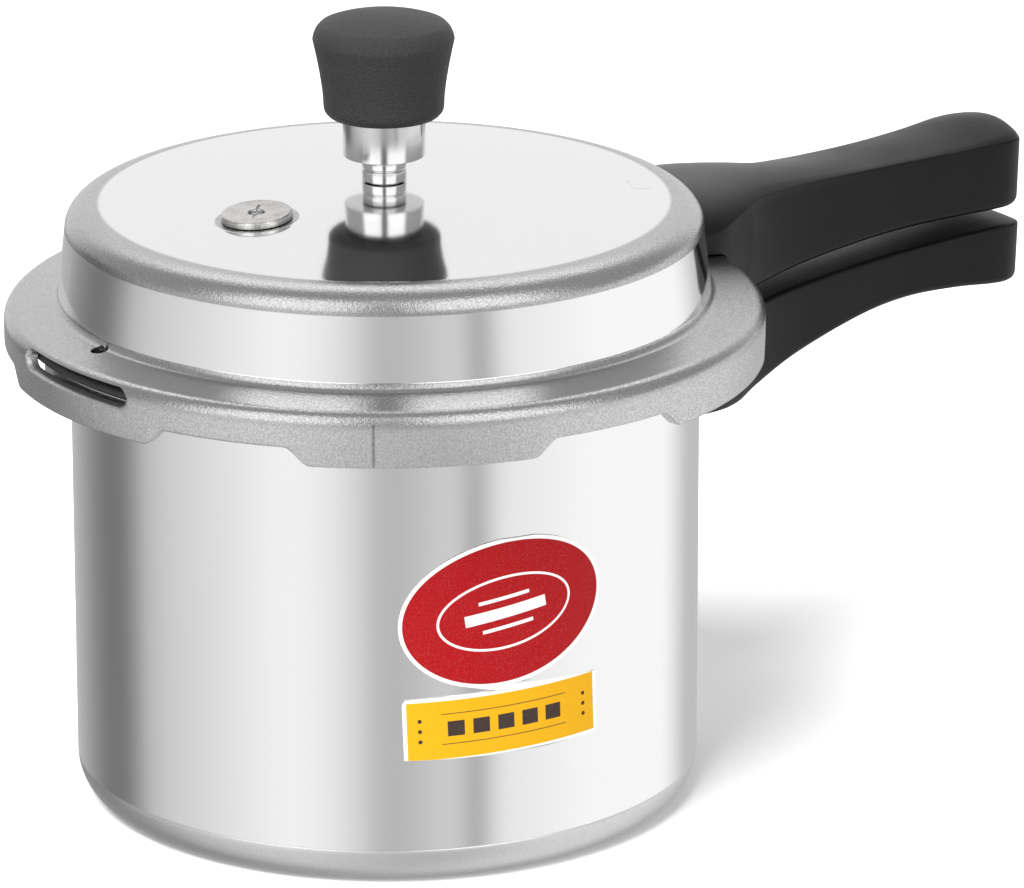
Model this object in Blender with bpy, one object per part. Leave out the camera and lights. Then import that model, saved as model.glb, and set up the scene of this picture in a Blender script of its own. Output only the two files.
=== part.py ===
"""A three-litre stovetop pressure cooker: a pan, a lid that locks on it by lugs,
and a weight on the lid's vent.

Units are metres and +Z is up. The origin is the centre of the pan's flat base, and both
handles point along +X. Each moving piece has its origin on the Z axis, which the lid turns
about and the weight lifts along.
"""

import math

import bmesh
import bpy
from mathutils import Matrix, Vector

# The gap kept between pieces that touch on the real thing
GAP = 0.0003

# Pan
PAN_RADIUS = 0.0890
PAN_HEIGHT = 0.1374
PAN_WALL = 0.00325
PAN_CORNER_WIDTH = 0.0090
PAN_CORNER_HEIGHT = 0.0106
RIM_THICKNESS = 0.0040
RIM_WIDTH = 0.0075

# Lugs, on the pan's rim and on the lid's skirt
LUG_COUNT = 6
LUG_REACH = 0.0060
LUG_HALF_ANGLE = 12.5
LUG_SIDE_ANGLE = 0.9
LIP_HALF_ANGLE = 13.5
LIP_SIDE_ANGLE = 1.0
SKIRT_HALF_ANGLE = 16.5
SKIRT_RAMP_ANGLE = 4.0
LIP_THICKNESS = 0.0045
LIP_CLEARANCE = 0.0015
LOCK_CLEARANCE = 0.0009

# Lid
LID_SHEET = 0.00325
LID_WALL_TOP_OUTSET = 0.0010
LID_WALL_FOOT_OUTSET = 0.0034
LID_WALL_HEIGHT = 0.0207
LID_FILLET = 0.0025
SHOULDER_WIDTH = 0.0090
SHOULDER_HEIGHT = 0.0067
CROWN_DROP = 0.0058
CROWN_POWER = 3.0
FLANGE_DROP = 0.0014
BEAD_RADIUS = 0.0040
SKIRT_CLEARANCE = 0.00175
SKIRT_OVERLAP = 0.0004
SKIRT_CHAMFER = 0.0008

# Gasket, and the slot in the skirt that lets it bulge out
GASKET_THICKNESS = 0.00375
GASKET_INSET = 0.0005
SLOT_HALF_ANGLE = 13.0
SLOT_FOOT = 0.0007
SLOT_HEIGHT = 0.0056
SLOT_AZIMUTH = 180.0
PEEP_HOLE_RADIUS = 0.0025
PEEP_HOLE_INSET = 0.0128
PEEP_HOLE_AZIMUTH = 178.4

# Vent pipe at the middle of the lid
VENT_COLLAR_RADIUS = 0.00635
VENT_COLLAR_HEIGHT = 0.0067
VENT_SHANK_RADIUS = 0.0050
VENT_SHANK_LENGTH = 0.0145
NOZZLE_RADIUS = 0.0032
NOZZLE_HEIGHT = 0.0148
VENT_BORE_RADIUS = 0.0012
VENT_NUT_HALF_FLATS = 0.0095
VENT_NUT_HEIGHT = 0.0060
WASHER_THICKNESS = 0.0012
WASHER_RIM = 0.0055

# Safety plug
SAFETY_DISTANCE = 0.0472
SAFETY_AZIMUTH = 186.1
SAFETY_HEAD_RADIUS = 0.0100
SAFETY_HEAD_HEIGHT = 0.0016
SAFETY_SHANK_RADIUS = 0.0057
SAFETY_SHANK_LENGTH = 0.0120
SAFETY_CORE_RADIUS = 0.0022
SAFETY_SLOT_WIDTH = 0.0016
SAFETY_SLOT_DEPTH = 0.0007
SAFETY_NUT_HALF_FLATS = 0.0088
SAFETY_NUT_HEIGHT = 0.0050
CROWN_SAG_GAP = 0.00015

# Weight
WEIGHT_RADIUS = 0.0116
WEIGHT_HEIGHT = 0.0113
STUD_RADIUS = 0.0075
STUD_HEIGHT = 0.0155
NOZZLE_CLEARANCE = 0.0010
WEIGHT_BORE_DEPTH = 0.0187
NEEDLE_RADIUS = 0.0025
NEEDLE_LENGTH = 0.0085
NEEDLE_SEAT = 0.0003
CLIP_HEIGHT = 0.0024
CLIP_WIDTH = 0.0017
CLIP_SEAT_HEIGHT = 0.0045
CLIP_OPENING = 40.0
KNOB_HEIGHT = 0.0294
KNOB_FOOT_HEIGHT = 0.0016
KNOB_WAIST_HEIGHT = 0.0041
KNOB_BULGE_HEIGHT = 0.0220
KNOB_FOOT_RADIUS = 0.0155
KNOB_WAIST_RADIUS = 0.0170
KNOB_TOP_RADIUS = 0.0199
KNOB_FLARE_POWER = 1.4
KNOB_DOME_POWER = 2.6

# Handles
HANDLE_REACH = 0.1361
HANDLE_CLEARANCE = 0.0004
HANDLE_LID_CLEARANCE = 0.0007
HANDLE_EDGE = 0.0024
HANDLE_SIDE_SLOPE = 0.0007
PAN_HANDLE_CROWN = 0.0004
POCKET_GAP = 0.0004
POCKET_SIDE_ANGLE = 0.6

# Brackets that hold the handles
BRACKET_SHEET = 0.0018
PAN_BRACKET_HALF_ANGLE = 10.5
LID_BRACKET_HALF_ANGLE = 8.5
TONGUE_HALF_WIDTH = 0.0055
TONGUE_THICKNESS = 0.0030
PAN_BRACKET_FOOT = -0.0374
PAN_BRACKET_HEIGHT = 0.0220
PAN_TONGUE_FOOT = -0.0290
PAN_TONGUE_LENGTH = 0.0390
LID_BRACKET_FOOT = 0.0106
LID_BRACKET_HEIGHT = 0.0066
LID_TONGUE_LENGTH = 0.0610

# Fasteners
RIVET_RADIUS = 0.0022
RIVET_HEAD_RADIUS = 0.0030
RIVET_HEAD_HEIGHT = 0.0012
RIVET_ANGLE = 6.2
LID_RIVET_HEIGHT = 0.0139
PAN_RIVET_HIGH = -0.0210
PAN_RIVET_LOW = -0.0332
SCREW_RADIUS = 0.0019
SCREW_HEAD_RADIUS = 0.0040
SCREW_HEAD_HEIGHT = 0.0024
SCREW_WALL = 0.0075
SCREW_SLOT_WIDTH = 0.0010
SCREW_SLOT_DEPTH = 0.0009
PAN_SCREW_DISTANCE = 0.0270
LID_SCREW_DISTANCES = (0.0330, 0.0530)
SCREW_WASHER_THICKNESS = 0.0008

# Label on the front of the pan
LABEL_AZIMUTH = -104.0
LABEL_THICKNESS = 0.0003
LABEL_MIDDLE = 0.0786
LABEL_HALF_WIDTH = 0.0306
LABEL_HALF_HEIGHT = 0.0212
LABEL_TILT = 0.15
LABEL_BAND_HALF_WIDTH = 0.0292
LABEL_BAND_MIDDLE = 0.0466
LABEL_BAND_HALF_HEIGHT = 0.0096
LABEL_BAND_CORNER = 0.0020
LABEL_BAND_TILT = 0.035

# Facets round a full turn
FINE = 60
MEDIUM = 30
COARSE = 24
SHARP_ANGLE = 35.0

# Sizes that follow from the ones above
collar_radius = PAN_RADIUS + RIM_WIDTH
lug_radius = collar_radius + LUG_REACH
rim_foot = PAN_HEIGHT - RIM_THICKNESS
skirt_inner = lug_radius + SKIRT_CLEARANCE
skirt_outer = skirt_inner + LID_SHEET
skirt_shallow = rim_foot - SKIRT_OVERLAP
skirt_deep = rim_foot - LOCK_CLEARANCE - LIP_THICKNESS
lip_radius = collar_radius + LIP_CLEARANCE
gasket_top = PAN_HEIGHT + GAP + GASKET_THICKNESS
flange_top = gasket_top + GAP + LID_SHEET
bead_centre = Vector((skirt_outer - BEAD_RADIUS, flange_top - FLANGE_DROP - BEAD_RADIUS))
wall_foot_radius = PAN_RADIUS + LID_WALL_FOOT_OUTSET
wall_top_radius = PAN_RADIUS + LID_WALL_TOP_OUTSET
wall_top = flange_top + LID_WALL_HEIGHT
crown_radius = wall_top_radius - SHOULDER_WIDTH
crown_edge = wall_top + SHOULDER_HEIGHT
lid_top = crown_edge + CROWN_DROP
weight_foot = lid_top + GAP + VENT_COLLAR_HEIGHT + GAP
bore_radius = NOZZLE_RADIUS + NOZZLE_CLEARANCE
handle_tip = PAN_RADIUS + HANDLE_REACH


def make_material(name, colour, roughness, metallic):
    material = bpy.data.materials.new(name)
    material.use_nodes = True
    shader = material.node_tree.nodes["Principled BSDF"]
    shader.inputs["Base Color"].default_value = (*colour, 1.0)
    shader.inputs["Roughness"].default_value = roughness
    shader.inputs["Metallic"].default_value = metallic
    material.diffuse_color = (*colour, 1.0)
    return material


def link(obj, parent):
    bpy.context.scene.collection.objects.link(obj)
    if parent:
        obj.parent = parent
        obj.matrix_parent_inverse = parent.matrix_world.inverted()
    return obj


def make_axis(name, height, parent=None):
    """An empty on the Z axis that moving pieces hang from."""
    axis = bpy.data.objects.new(name, None)
    axis.location.z = height
    link(axis, parent)
    bpy.context.view_layer.update()
    return axis


def make_piece(name, shape, material, parent=None):
    """Turns a bmesh into an object of its own, facing out, smooth but for its sharp edges."""
    bmesh.ops.recalc_face_normals(shape, faces=shape.faces)
    mesh = bpy.data.meshes.new(name)
    shape.to_mesh(mesh)
    shape.free()
    mesh.materials.append(material)
    mesh.shade_smooth()
    mesh.set_sharp_from_angle(angle=math.radians(SHARP_ANGLE))
    return link(bpy.data.objects.new(name, mesh), parent)


def copy_piece(name, original, placing, parent):
    """Another object with the same mesh, placed by a matrix."""
    piece = bpy.data.objects.new(name, original.data)
    piece.matrix_world = placing
    return link(piece, parent)


def combine(target, operation, name, shape):
    """Cuts a hidden shape from a piece, or joins it on."""
    tool = make_piece(name, shape, target.active_material)
    tool.hide_render = True
    tool.display_type = "WIRE"
    boolean = target.modifiers.new(name, "BOOLEAN")
    boolean.operation = operation
    boolean.solver = "EXACT"
    boolean.object = tool
    return tool


def cut(target, name, shape):
    return combine(target, "DIFFERENCE", name, shape)


def even_turn(count):
    return [math.tau * step / count for step in range(count)]


def lug_turn(offsets):
    """Azimuths round the rim, with the same offsets in degrees on both sides of each lug's middle."""
    sector = 360.0 / LUG_COUNT
    both_sides = sorted({*offsets, *(-offset for offset in offsets if abs(offset) < sector / 2)})
    return [math.radians(sector * lug + offset) for lug in range(LUG_COUNT) for offset in both_sides]


def turned(outline_at, azimuths):
    """A body turned about Z. Its outline of (radius, height) points may change with the azimuth.

    An outline that starts and ends on the axis makes a solid body, and any other is a closed loop.
    """
    shape = bmesh.new()
    on_axis = outline_at(0.0)[0][0] == 0.0
    poles = {}
    rings = []
    for azimuth in azimuths:
        ring = []
        for place, (radius, height) in enumerate(outline_at(azimuth)):
            if radius == 0.0 and place in poles:
                ring.append(poles[place])
                continue
            corner = (radius * math.cos(azimuth), radius * math.sin(azimuth), height)
            ring.append(shape.verts.new(corner))
            if radius == 0.0:
                poles[place] = ring[-1]
        rings.append(ring)
    for ring, following in zip(rings, rings[1:] + rings[:1]):
        for place in range(len(ring) - on_axis):
            after = (place + 1) % len(ring)
            corners = [ring[place], ring[after], following[after], following[place]]
            shape.faces.new(list(dict.fromkeys(corners)))
    return shape


def turned_evenly(outline, count):
    return turned(lambda azimuth: outline, even_turn(count))


def rod(radius, foot, top, count=COARSE):
    return turned_evenly([(0.0, top), (radius, top), (radius, foot), (0.0, foot)], count)


def tube(inner, outer, foot, top, count=COARSE):
    return turned_evenly([(inner, foot), (outer, foot), (outer, top), (inner, top)], count)


def hexagon_nut(bore, half_flats, foot, top):
    """A hexagonal prism with a round bore."""

    def outline_at(azimuth):
        from_flat = math.remainder(azimuth - math.radians(30.0), math.radians(60.0))
        outer = half_flats / math.cos(from_flat)
        return [(bore, foot), (outer, foot), (outer, top), (bore, top)]

    return turned(outline_at, even_turn(COARSE))


def lofted(rings):
    """Joins rings of points, with the same number in each, into one body with flat ends."""
    shape = bmesh.new()
    loops = [[shape.verts.new(point) for point in ring] for ring in rings]
    for loop, following in zip(loops, loops[1:]):
        for place in range(len(loop)):
            after = (place + 1) % len(loop)
            shape.faces.new((loop[place], loop[after], following[after], following[place]))
    shape.faces.new(loops[0])
    shape.faces.new(loops[-1])
    return shape


def block(low, high):
    (x0, y0, z0), (x1, y1, z1) = low, high
    corners = ((y0, z0), (y1, z0), (y1, z1), (y0, z1))
    return lofted([[(x, y, z) for y, z in corners] for x in (x0, x1)])


def constant(radius):
    """A wall whose radius is the same at every height."""
    return lambda height: radius


def wrapped(inner_at, outer_at, stations):
    """A plate that follows a round wall. Each station is (azimuth in degrees, foot, top)."""
    rings = []
    for azimuth, foot, top in stations:
        across = math.cos(math.radians(azimuth)), math.sin(math.radians(azimuth))
        low = ((inner_at(foot), foot), (outer_at(foot), foot))
        high = ((outer_at(top), top), (inner_at(top), top))
        rings.append([(radius * across[0], radius * across[1], height) for radius, height in low + high])
    return lofted(rings)


def arc(centre, radii, start, end, steps):
    """Points on an elliptical arc from one angle in degrees to another, both ends included."""
    angles = [math.radians(start + (end - start) * step / steps) for step in range(steps + 1)]
    return [(centre[0] + radii[0] * math.cos(a), centre[1] + radii[1] * math.sin(a)) for a in angles]


def ramp(value, start, end):
    """0 before start, 1 after end, and a smooth rise between."""
    share = min(max((value - start) / (end - start), 0.0), 1.0)
    return share * share * (3.0 - 2.0 * share)


def from_lug(azimuth):
    """Degrees from the nearest lug's middle."""
    return abs(math.degrees(math.remainder(azimuth, math.tau / LUG_COUNT)))


def pan_outline(azimuth):
    lug = 1.0 - ramp(from_lug(azimuth), LUG_HALF_ANGLE, LUG_HALF_ANGLE + LUG_SIDE_ANGLE)
    rim_outer = collar_radius + LUG_REACH * lug
    floor_radius = PAN_RADIUS - PAN_CORNER_WIDTH
    corner_centre = (floor_radius, PAN_CORNER_HEIGHT)
    inner_radius = PAN_RADIUS - PAN_WALL
    inner_corner = (PAN_CORNER_WIDTH - PAN_WALL / 2, PAN_CORNER_HEIGHT - PAN_WALL)
    inner_centre = (inner_radius - inner_corner[0], PAN_CORNER_HEIGHT)
    return [
        (0.0, PAN_WALL),
        *arc(inner_centre, inner_corner, -90.0, 0.0, 3),
        (inner_radius, PAN_HEIGHT),
        (rim_outer, PAN_HEIGHT),
        (rim_outer, rim_foot),
        (PAN_RADIUS, rim_foot),
        *arc(corner_centre, (PAN_CORNER_WIDTH, PAN_CORNER_HEIGHT), 0.0, -90.0, 4),
        (0.0, 0.0),
    ]


def make_pan(aluminium):
    offsets = (0.0, 6.0, LUG_HALF_ANGLE, LUG_HALF_ANGLE + LUG_SIDE_ANGLE, 18.0, 24.0, 30.0)
    pan = make_piece("pan", turned(pan_outline, lug_turn(offsets)), aluminium)
    for number, placing in enumerate(pan_rivet_places(), 1):
        hole = cut(pan, f"pan_rivet_hole_{number}", rivet_hole(PAN_WALL))
        hole.matrix_world = placing
    return pan


def lid_wall_radius(height):
    """Radius of the lid's outer wall, which leans in towards the top."""
    share = (height - flange_top) / (wall_top - flange_top)
    return wall_foot_radius + (wall_top_radius - wall_foot_radius) * share


def lid_outer(extra):
    """The lid's outside from its wall down to the bead, moved outwards by extra."""
    fillet = LID_FILLET - extra
    fillet_height = flange_top + LID_FILLET
    fillet_centre = (lid_wall_radius(fillet_height) + LID_FILLET, fillet_height)
    return [
        *arc(fillet_centre, (fillet, fillet), 180.0, 270.0, 2),
        *arc(bead_centre, (BEAD_RADIUS + extra, BEAD_RADIUS + extra), 90.0, 0.0, 3),
    ]


def crown_height(radius):
    return lid_top - CROWN_DROP * (radius / crown_radius) ** CROWN_POWER


def lid_outline(azimuth):
    offset = from_lug(azimuth)
    skirt_ramp = ramp(offset, SKIRT_HALF_ANGLE, SKIRT_HALF_ANGLE + SKIRT_RAMP_ANGLE)
    bottom = skirt_deep + (skirt_shallow - skirt_deep) * skirt_ramp
    lip = 1.0 - ramp(offset, LIP_HALF_ANGLE, LIP_HALF_ANGLE + LIP_SIDE_ANGLE)
    lip_inner = skirt_inner - GAP - (skirt_inner - GAP - lip_radius) * lip
    crown = [(crown_radius * share, crown_height(crown_radius * share)) for share in (0.0, 0.4, 0.75)]
    shoulder = (SHOULDER_WIDTH, SHOULDER_HEIGHT)
    inner_shoulder = (SHOULDER_WIDTH - LID_SHEET, SHOULDER_HEIGHT - LID_SHEET)
    inner_foot = wall_foot_radius - LID_SHEET
    flange_inner = flange_top - LID_SHEET
    return [
        *crown,
        *arc((crown_radius, wall_top), shoulder, 90.0, 0.0, 3),
        *lid_outer(0.0),
        (skirt_outer, bottom + SKIRT_CHAMFER),
        (skirt_outer - SKIRT_CHAMFER, bottom),
        (lip_inner, bottom),
        (lip_inner, bottom + LIP_THICKNESS),
        (skirt_inner, bottom + LIP_THICKNESS + GAP),
        (skirt_inner, flange_inner - FLANGE_DROP - SKIRT_CHAMFER),
        (skirt_inner - SKIRT_CHAMFER, flange_inner - FLANGE_DROP),
        (inner_foot + LID_FILLET, flange_inner),
        (inner_foot, flange_inner + LID_FILLET),
        *arc((crown_radius, wall_top), inner_shoulder, 0.0, 90.0, 2),
        *[(radius, height - LID_SHEET) for radius, height in reversed(crown)],
    ]


def make_lid(aluminium, parent):
    lip_end = LIP_HALF_ANGLE + LIP_SIDE_ANGLE
    ramp_offsets = [SKIRT_HALF_ANGLE + SKIRT_RAMP_ANGLE * share for share in (0.0, 0.5, 1.0)]
    offsets = (0.0, 6.5, LIP_HALF_ANGLE, lip_end, *ramp_offsets, 25.0, 30.0)
    lid = make_piece("lid", turned(lid_outline, lug_turn(offsets)), aluminium, parent)
    cut(lid, "gasket_slot", gasket_slot())
    peep_hole = cut(lid, "peep_hole", rod(PEEP_HOLE_RADIUS, gasket_top - LID_SHEET, flange_top + LID_SHEET))
    around = Matrix.Rotation(math.radians(PEEP_HOLE_AZIMUTH), 4, "Z")
    peep_hole.matrix_world = around @ Matrix.Translation((skirt_outer - PEEP_HOLE_INSET, 0.0, 0.0))
    through = VENT_SHANK_RADIUS + GAP
    cut(lid, "vent_hole", rod(through, lid_top - 2 * LID_SHEET, lid_top + LID_SHEET))
    safety_hole = cut(lid, "safety_hole", rod(SAFETY_SHANK_RADIUS + GAP, -2 * LID_SHEET, LID_SHEET))
    safety_hole.matrix_world = safety_place()
    for number, placing in enumerate(lid_rivet_places(), 1):
        hole = cut(lid, f"lid_rivet_hole_{number}", rivet_hole(LID_SHEET))
        hole.matrix_world = placing
    return lid


def gasket_slot():
    """A long slot with round ends through the skirt and the bead, down to the gasket's channel."""
    middle = PAN_HEIGHT - SLOT_FOOT + SLOT_HEIGHT / 2
    end_angle = math.degrees(SLOT_HEIGHT / 2 / skirt_outer)
    straight = SLOT_HALF_ANGLE - end_angle
    half = [(straight * share, SLOT_HEIGHT / 2) for share in (0.0, 0.33, 0.67)]
    half += arc((straight, 0.0), (end_angle, SLOT_HEIGHT / 2), 90.0, 10.0, 3)
    both = [(-offset, rise) for offset, rise in reversed(half[1:])] + half
    stations = [(SLOT_AZIMUTH + offset, middle - rise, middle + rise) for offset, rise in both]
    return wrapped(constant(lug_radius - GASKET_INSET), constant(skirt_outer + SLOT_HEIGHT), stations)


def make_gasket(rubber, parent):
    """A flat ring in the lid's channel that rests on the pan's rim, its top sloping with the flange."""
    foot = PAN_HEIGHT + GAP
    inner = PAN_RADIUS - GASKET_INSET
    outer = skirt_inner - GASKET_INSET
    slope_start = wall_foot_radius - LID_SHEET + LID_FILLET
    outline = [
        (inner, foot),
        (outer, foot),
        (outer, gasket_top - FLANGE_DROP - SKIRT_CHAMFER),
        (outer - SKIRT_CHAMFER, gasket_top - FLANGE_DROP),
        (slope_start, gasket_top),
        (inner, gasket_top),
    ]
    make_piece("gasket", turned_evenly(outline, FINE), rubber, parent)


def make_vent(brass, steel, parent):
    collar_foot = lid_top + GAP
    collar_top = collar_foot + VENT_COLLAR_HEIGHT
    nozzle_top = collar_top + NOZZLE_HEIGHT
    groove = 0.0006
    outline = [
        (VENT_BORE_RADIUS, collar_foot - VENT_SHANK_LENGTH),
        (VENT_SHANK_RADIUS, collar_foot - VENT_SHANK_LENGTH),
        (VENT_SHANK_RADIUS, collar_foot),
        (VENT_COLLAR_RADIUS, collar_foot),
        (VENT_COLLAR_RADIUS, collar_foot + VENT_COLLAR_HEIGHT / 2 - groove),
        (VENT_COLLAR_RADIUS - groove, collar_foot + VENT_COLLAR_HEIGHT / 2),
        (VENT_COLLAR_RADIUS, collar_foot + VENT_COLLAR_HEIGHT / 2 + groove),
        (VENT_COLLAR_RADIUS, collar_top),
        (NOZZLE_RADIUS, collar_top),
        (NOZZLE_RADIUS, nozzle_top - NOZZLE_RADIUS / 3),
        (NOZZLE_RADIUS - NOZZLE_RADIUS / 3, nozzle_top),
        (VENT_BORE_RADIUS, nozzle_top),
    ]
    make_piece("vent_pipe", turned_evenly(outline, MEDIUM), brass, parent)
    washer_top = lid_top - LID_SHEET - GAP
    washer_foot = washer_top - WASHER_THICKNESS
    bore = VENT_SHANK_RADIUS + GAP
    make_piece("vent_washer", tube(bore, bore + WASHER_RIM, washer_foot, washer_top), steel, parent)
    nut_top = washer_foot - GAP
    nut = hexagon_nut(bore, VENT_NUT_HALF_FLATS, nut_top - VENT_NUT_HEIGHT, nut_top)
    make_piece("vent_nut", nut, brass, parent)


def safety_place():
    """The safety plug's own frame: on the lid's crown, square to it."""
    azimuth = math.radians(SAFETY_AZIMUTH)
    slope = CROWN_DROP * CROWN_POWER * (SAFETY_DISTANCE / crown_radius) ** (CROWN_POWER - 1) / crown_radius
    lean = Matrix.Rotation(math.atan(slope), 4, "Y")
    outwards = Matrix.Translation((SAFETY_DISTANCE, 0.0, crown_height(SAFETY_DISTANCE)))
    return Matrix.Rotation(azimuth, 4, "Z") @ outwards @ lean


def make_safety_plug(steel, brass, alloy, parent):
    head_foot = GAP + CROWN_SAG_GAP
    head_top = head_foot + SAFETY_HEAD_HEIGHT
    head_edge = SAFETY_HEAD_HEIGHT / 4
    bore = SAFETY_CORE_RADIUS + GAP
    outline = [
        (bore, head_foot - SAFETY_SHANK_LENGTH),
        (SAFETY_SHANK_RADIUS, head_foot - SAFETY_SHANK_LENGTH),
        (SAFETY_SHANK_RADIUS, head_foot),
        (SAFETY_HEAD_RADIUS, head_foot),
        (SAFETY_HEAD_RADIUS, head_top - head_edge),
        (SAFETY_HEAD_RADIUS - head_edge, head_top),
        (bore, head_top),
    ]
    body = make_piece("safety_plug_body", turned_evenly(outline, MEDIUM), steel, parent)
    half_slot = SAFETY_SLOT_WIDTH / 2
    low = (-2 * SAFETY_HEAD_RADIUS, -half_slot, head_top - SAFETY_SLOT_DEPTH)
    high = (2 * SAFETY_HEAD_RADIUS, half_slot, head_top + SAFETY_HEAD_HEIGHT)
    slot = cut(body, "safety_plug_slot", block(low, high))
    core_top = head_top - SAFETY_SLOT_DEPTH
    core_shape = rod(SAFETY_CORE_RADIUS, head_foot - SAFETY_SHANK_LENGTH, core_top)
    core = make_piece("safety_plug_core", core_shape, alloy, parent)
    through = SAFETY_SHANK_RADIUS + GAP
    washer_top = -LID_SHEET - GAP - 2 * CROWN_SAG_GAP
    washer_foot = washer_top - WASHER_THICKNESS
    washer_shape = tube(through, SAFETY_HEAD_RADIUS, washer_foot, washer_top)
    washer = make_piece("safety_plug_washer", washer_shape, steel, parent)
    nut_top = washer_foot - GAP
    nut_shape = hexagon_nut(through, SAFETY_NUT_HALF_FLATS, nut_top - SAFETY_NUT_HEIGHT, nut_top)
    nut = make_piece("safety_plug_nut", nut_shape, brass, parent)
    for piece in (body, slot, core, washer, nut):
        piece.matrix_world = safety_place()


def make_weight(chrome, steel, bakelite, clip_parent, weight_parent):
    weight_top = weight_foot + WEIGHT_HEIGHT
    stud_top = weight_top + STUD_HEIGHT
    bore_top = weight_foot + WEIGHT_BORE_DEPTH
    edge = 0.0005
    clip_foot = weight_foot + CLIP_SEAT_HEIGHT
    clip_top = clip_foot + CLIP_HEIGHT
    clip_inner = NOZZLE_RADIUS + GAP
    clip_outer = clip_inner + CLIP_WIDTH
    needle_bore = NEEDLE_RADIUS + GAP
    needle_foot = lid_top + GAP + VENT_COLLAR_HEIGHT + NOZZLE_HEIGHT + NEEDLE_SEAT
    needle_top = needle_foot + NEEDLE_LENGTH
    outline = [
        (0.0, stud_top),
        (STUD_RADIUS, stud_top),
        (STUD_RADIUS, weight_top),
        (WEIGHT_RADIUS - edge, weight_top),
        (WEIGHT_RADIUS, weight_top - edge),
        (WEIGHT_RADIUS, weight_foot + edge),
        (WEIGHT_RADIUS - edge, weight_foot),
        (bore_radius, weight_foot),
        (bore_radius, clip_foot - GAP),
        (clip_outer + GAP, clip_foot - GAP),
        (clip_outer + GAP, clip_top + GAP),
        (bore_radius, clip_top + GAP),
        (bore_radius, bore_top),
        (needle_bore, bore_top),
        (needle_bore, needle_top + GAP),
        (0.0, needle_top + GAP),
    ]
    make_piece("weight_body", turned_evenly(outline, MEDIUM), chrome, weight_parent)
    needle = [
        (0.0, needle_top),
        (NEEDLE_RADIUS, needle_top),
        (NEEDLE_RADIUS, needle_foot + NEEDLE_RADIUS / 2),
        (0.0, needle_foot),
    ]
    make_piece("weight_needle", turned_evenly(needle, COARSE), steel, weight_parent)
    stations = []
    for step in range(13):
        azimuth = 180.0 + CLIP_OPENING / 2 + (360.0 - CLIP_OPENING) * step / 12
        stations.append((azimuth, clip_foot, clip_top))
    clip = wrapped(constant(clip_inner), constant(clip_outer), stations)
    make_piece("weight_clip", clip, steel, clip_parent)
    make_knob(bakelite, weight_top + GAP, stud_top, weight_parent)


def make_knob(bakelite, foot, stud_top, parent):
    """The grip on the weight: waisted below, bulging above, under a low dome, with a pocket for the stud."""
    pocket = STUD_RADIUS + GAP
    rise = KNOB_BULGE_HEIGHT - KNOB_WAIST_HEIGHT
    flare = []
    for share in (0.0, 0.25, 0.5, 0.75):
        radius = KNOB_WAIST_RADIUS + (KNOB_TOP_RADIUS - KNOB_WAIST_RADIUS) * share**KNOB_FLARE_POWER
        flare.append((radius, foot + KNOB_WAIST_HEIGHT + rise * share))
    dome = []
    for angle in (0.0, 20.0, 40.0, 60.0, 75.0):
        across = math.cos(math.radians(angle)) ** (2 / KNOB_DOME_POWER)
        up = math.sin(math.radians(angle)) ** (2 / KNOB_DOME_POWER)
        height = KNOB_BULGE_HEIGHT + (KNOB_HEIGHT - KNOB_BULGE_HEIGHT) * up
        dome.append((KNOB_TOP_RADIUS * across, foot + height))
    outline = [
        (0.0, foot + KNOB_HEIGHT),
        *reversed(dome),
        *reversed(flare),
        (KNOB_WAIST_RADIUS - GAP, foot + KNOB_FOOT_HEIGHT),
        (KNOB_FOOT_RADIUS, foot),
        (pocket, foot),
        (pocket, stud_top + GAP),
        (0.0, stud_top + GAP),
    ]
    make_piece("weight_knob", turned_evenly(outline, MEDIUM), bakelite, parent)


def rivet_hole(sheet):
    """A hole square to a wall, in the frame that a rivet is placed by."""
    return rod(RIVET_RADIUS + GAP, -2 * sheet, sheet + BRACKET_SHEET + RIVET_HEAD_HEIGHT, 12)


def rivet(sheet):
    """A rivet with a head on each side: z = 0 is the wall's outer face and +z points out of it."""
    inner = -sheet - GAP - CROWN_SAG_GAP
    outer = GAP + BRACKET_SHEET + GAP + CROWN_SAG_GAP
    head = RIVET_HEAD_RADIUS * 0.7
    outline = [
        (0.0, outer + RIVET_HEAD_HEIGHT),
        (head, outer + RIVET_HEAD_HEIGHT * 0.7),
        (RIVET_HEAD_RADIUS, outer),
        (RIVET_RADIUS, outer),
        (RIVET_RADIUS, inner),
        (RIVET_HEAD_RADIUS, inner),
        (head, inner - RIVET_HEAD_HEIGHT * 0.7),
        (0.0, inner - RIVET_HEAD_HEIGHT),
    ]
    return turned_evenly(outline, 12)


def on_wall(radius, height, azimuth, lean):
    """A frame on a round wall, its z axis square to the wall and pointing out."""
    place = Matrix.Translation((radius, 0.0, height))
    facing = Matrix.Rotation(math.radians(90.0) - lean, 4, "Y")
    return Matrix.Rotation(math.radians(azimuth), 4, "Z") @ place @ facing


def pan_rivet_places():
    spots = ((-RIVET_ANGLE, PAN_RIVET_HIGH), (RIVET_ANGLE, PAN_RIVET_HIGH), (0.0, PAN_RIVET_LOW))
    return [on_wall(PAN_RADIUS, PAN_HEIGHT + height, azimuth, 0.0) for azimuth, height in spots]


def lid_rivet_places():
    height = PAN_HEIGHT + LID_RIVET_HEIGHT
    lean = math.atan((wall_foot_radius - wall_top_radius) / (wall_top - flange_top))
    radius = lid_wall_radius(height)
    return [on_wall(radius, height, azimuth, lean) for azimuth in (-RIVET_ANGLE, RIVET_ANGLE)]


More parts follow.
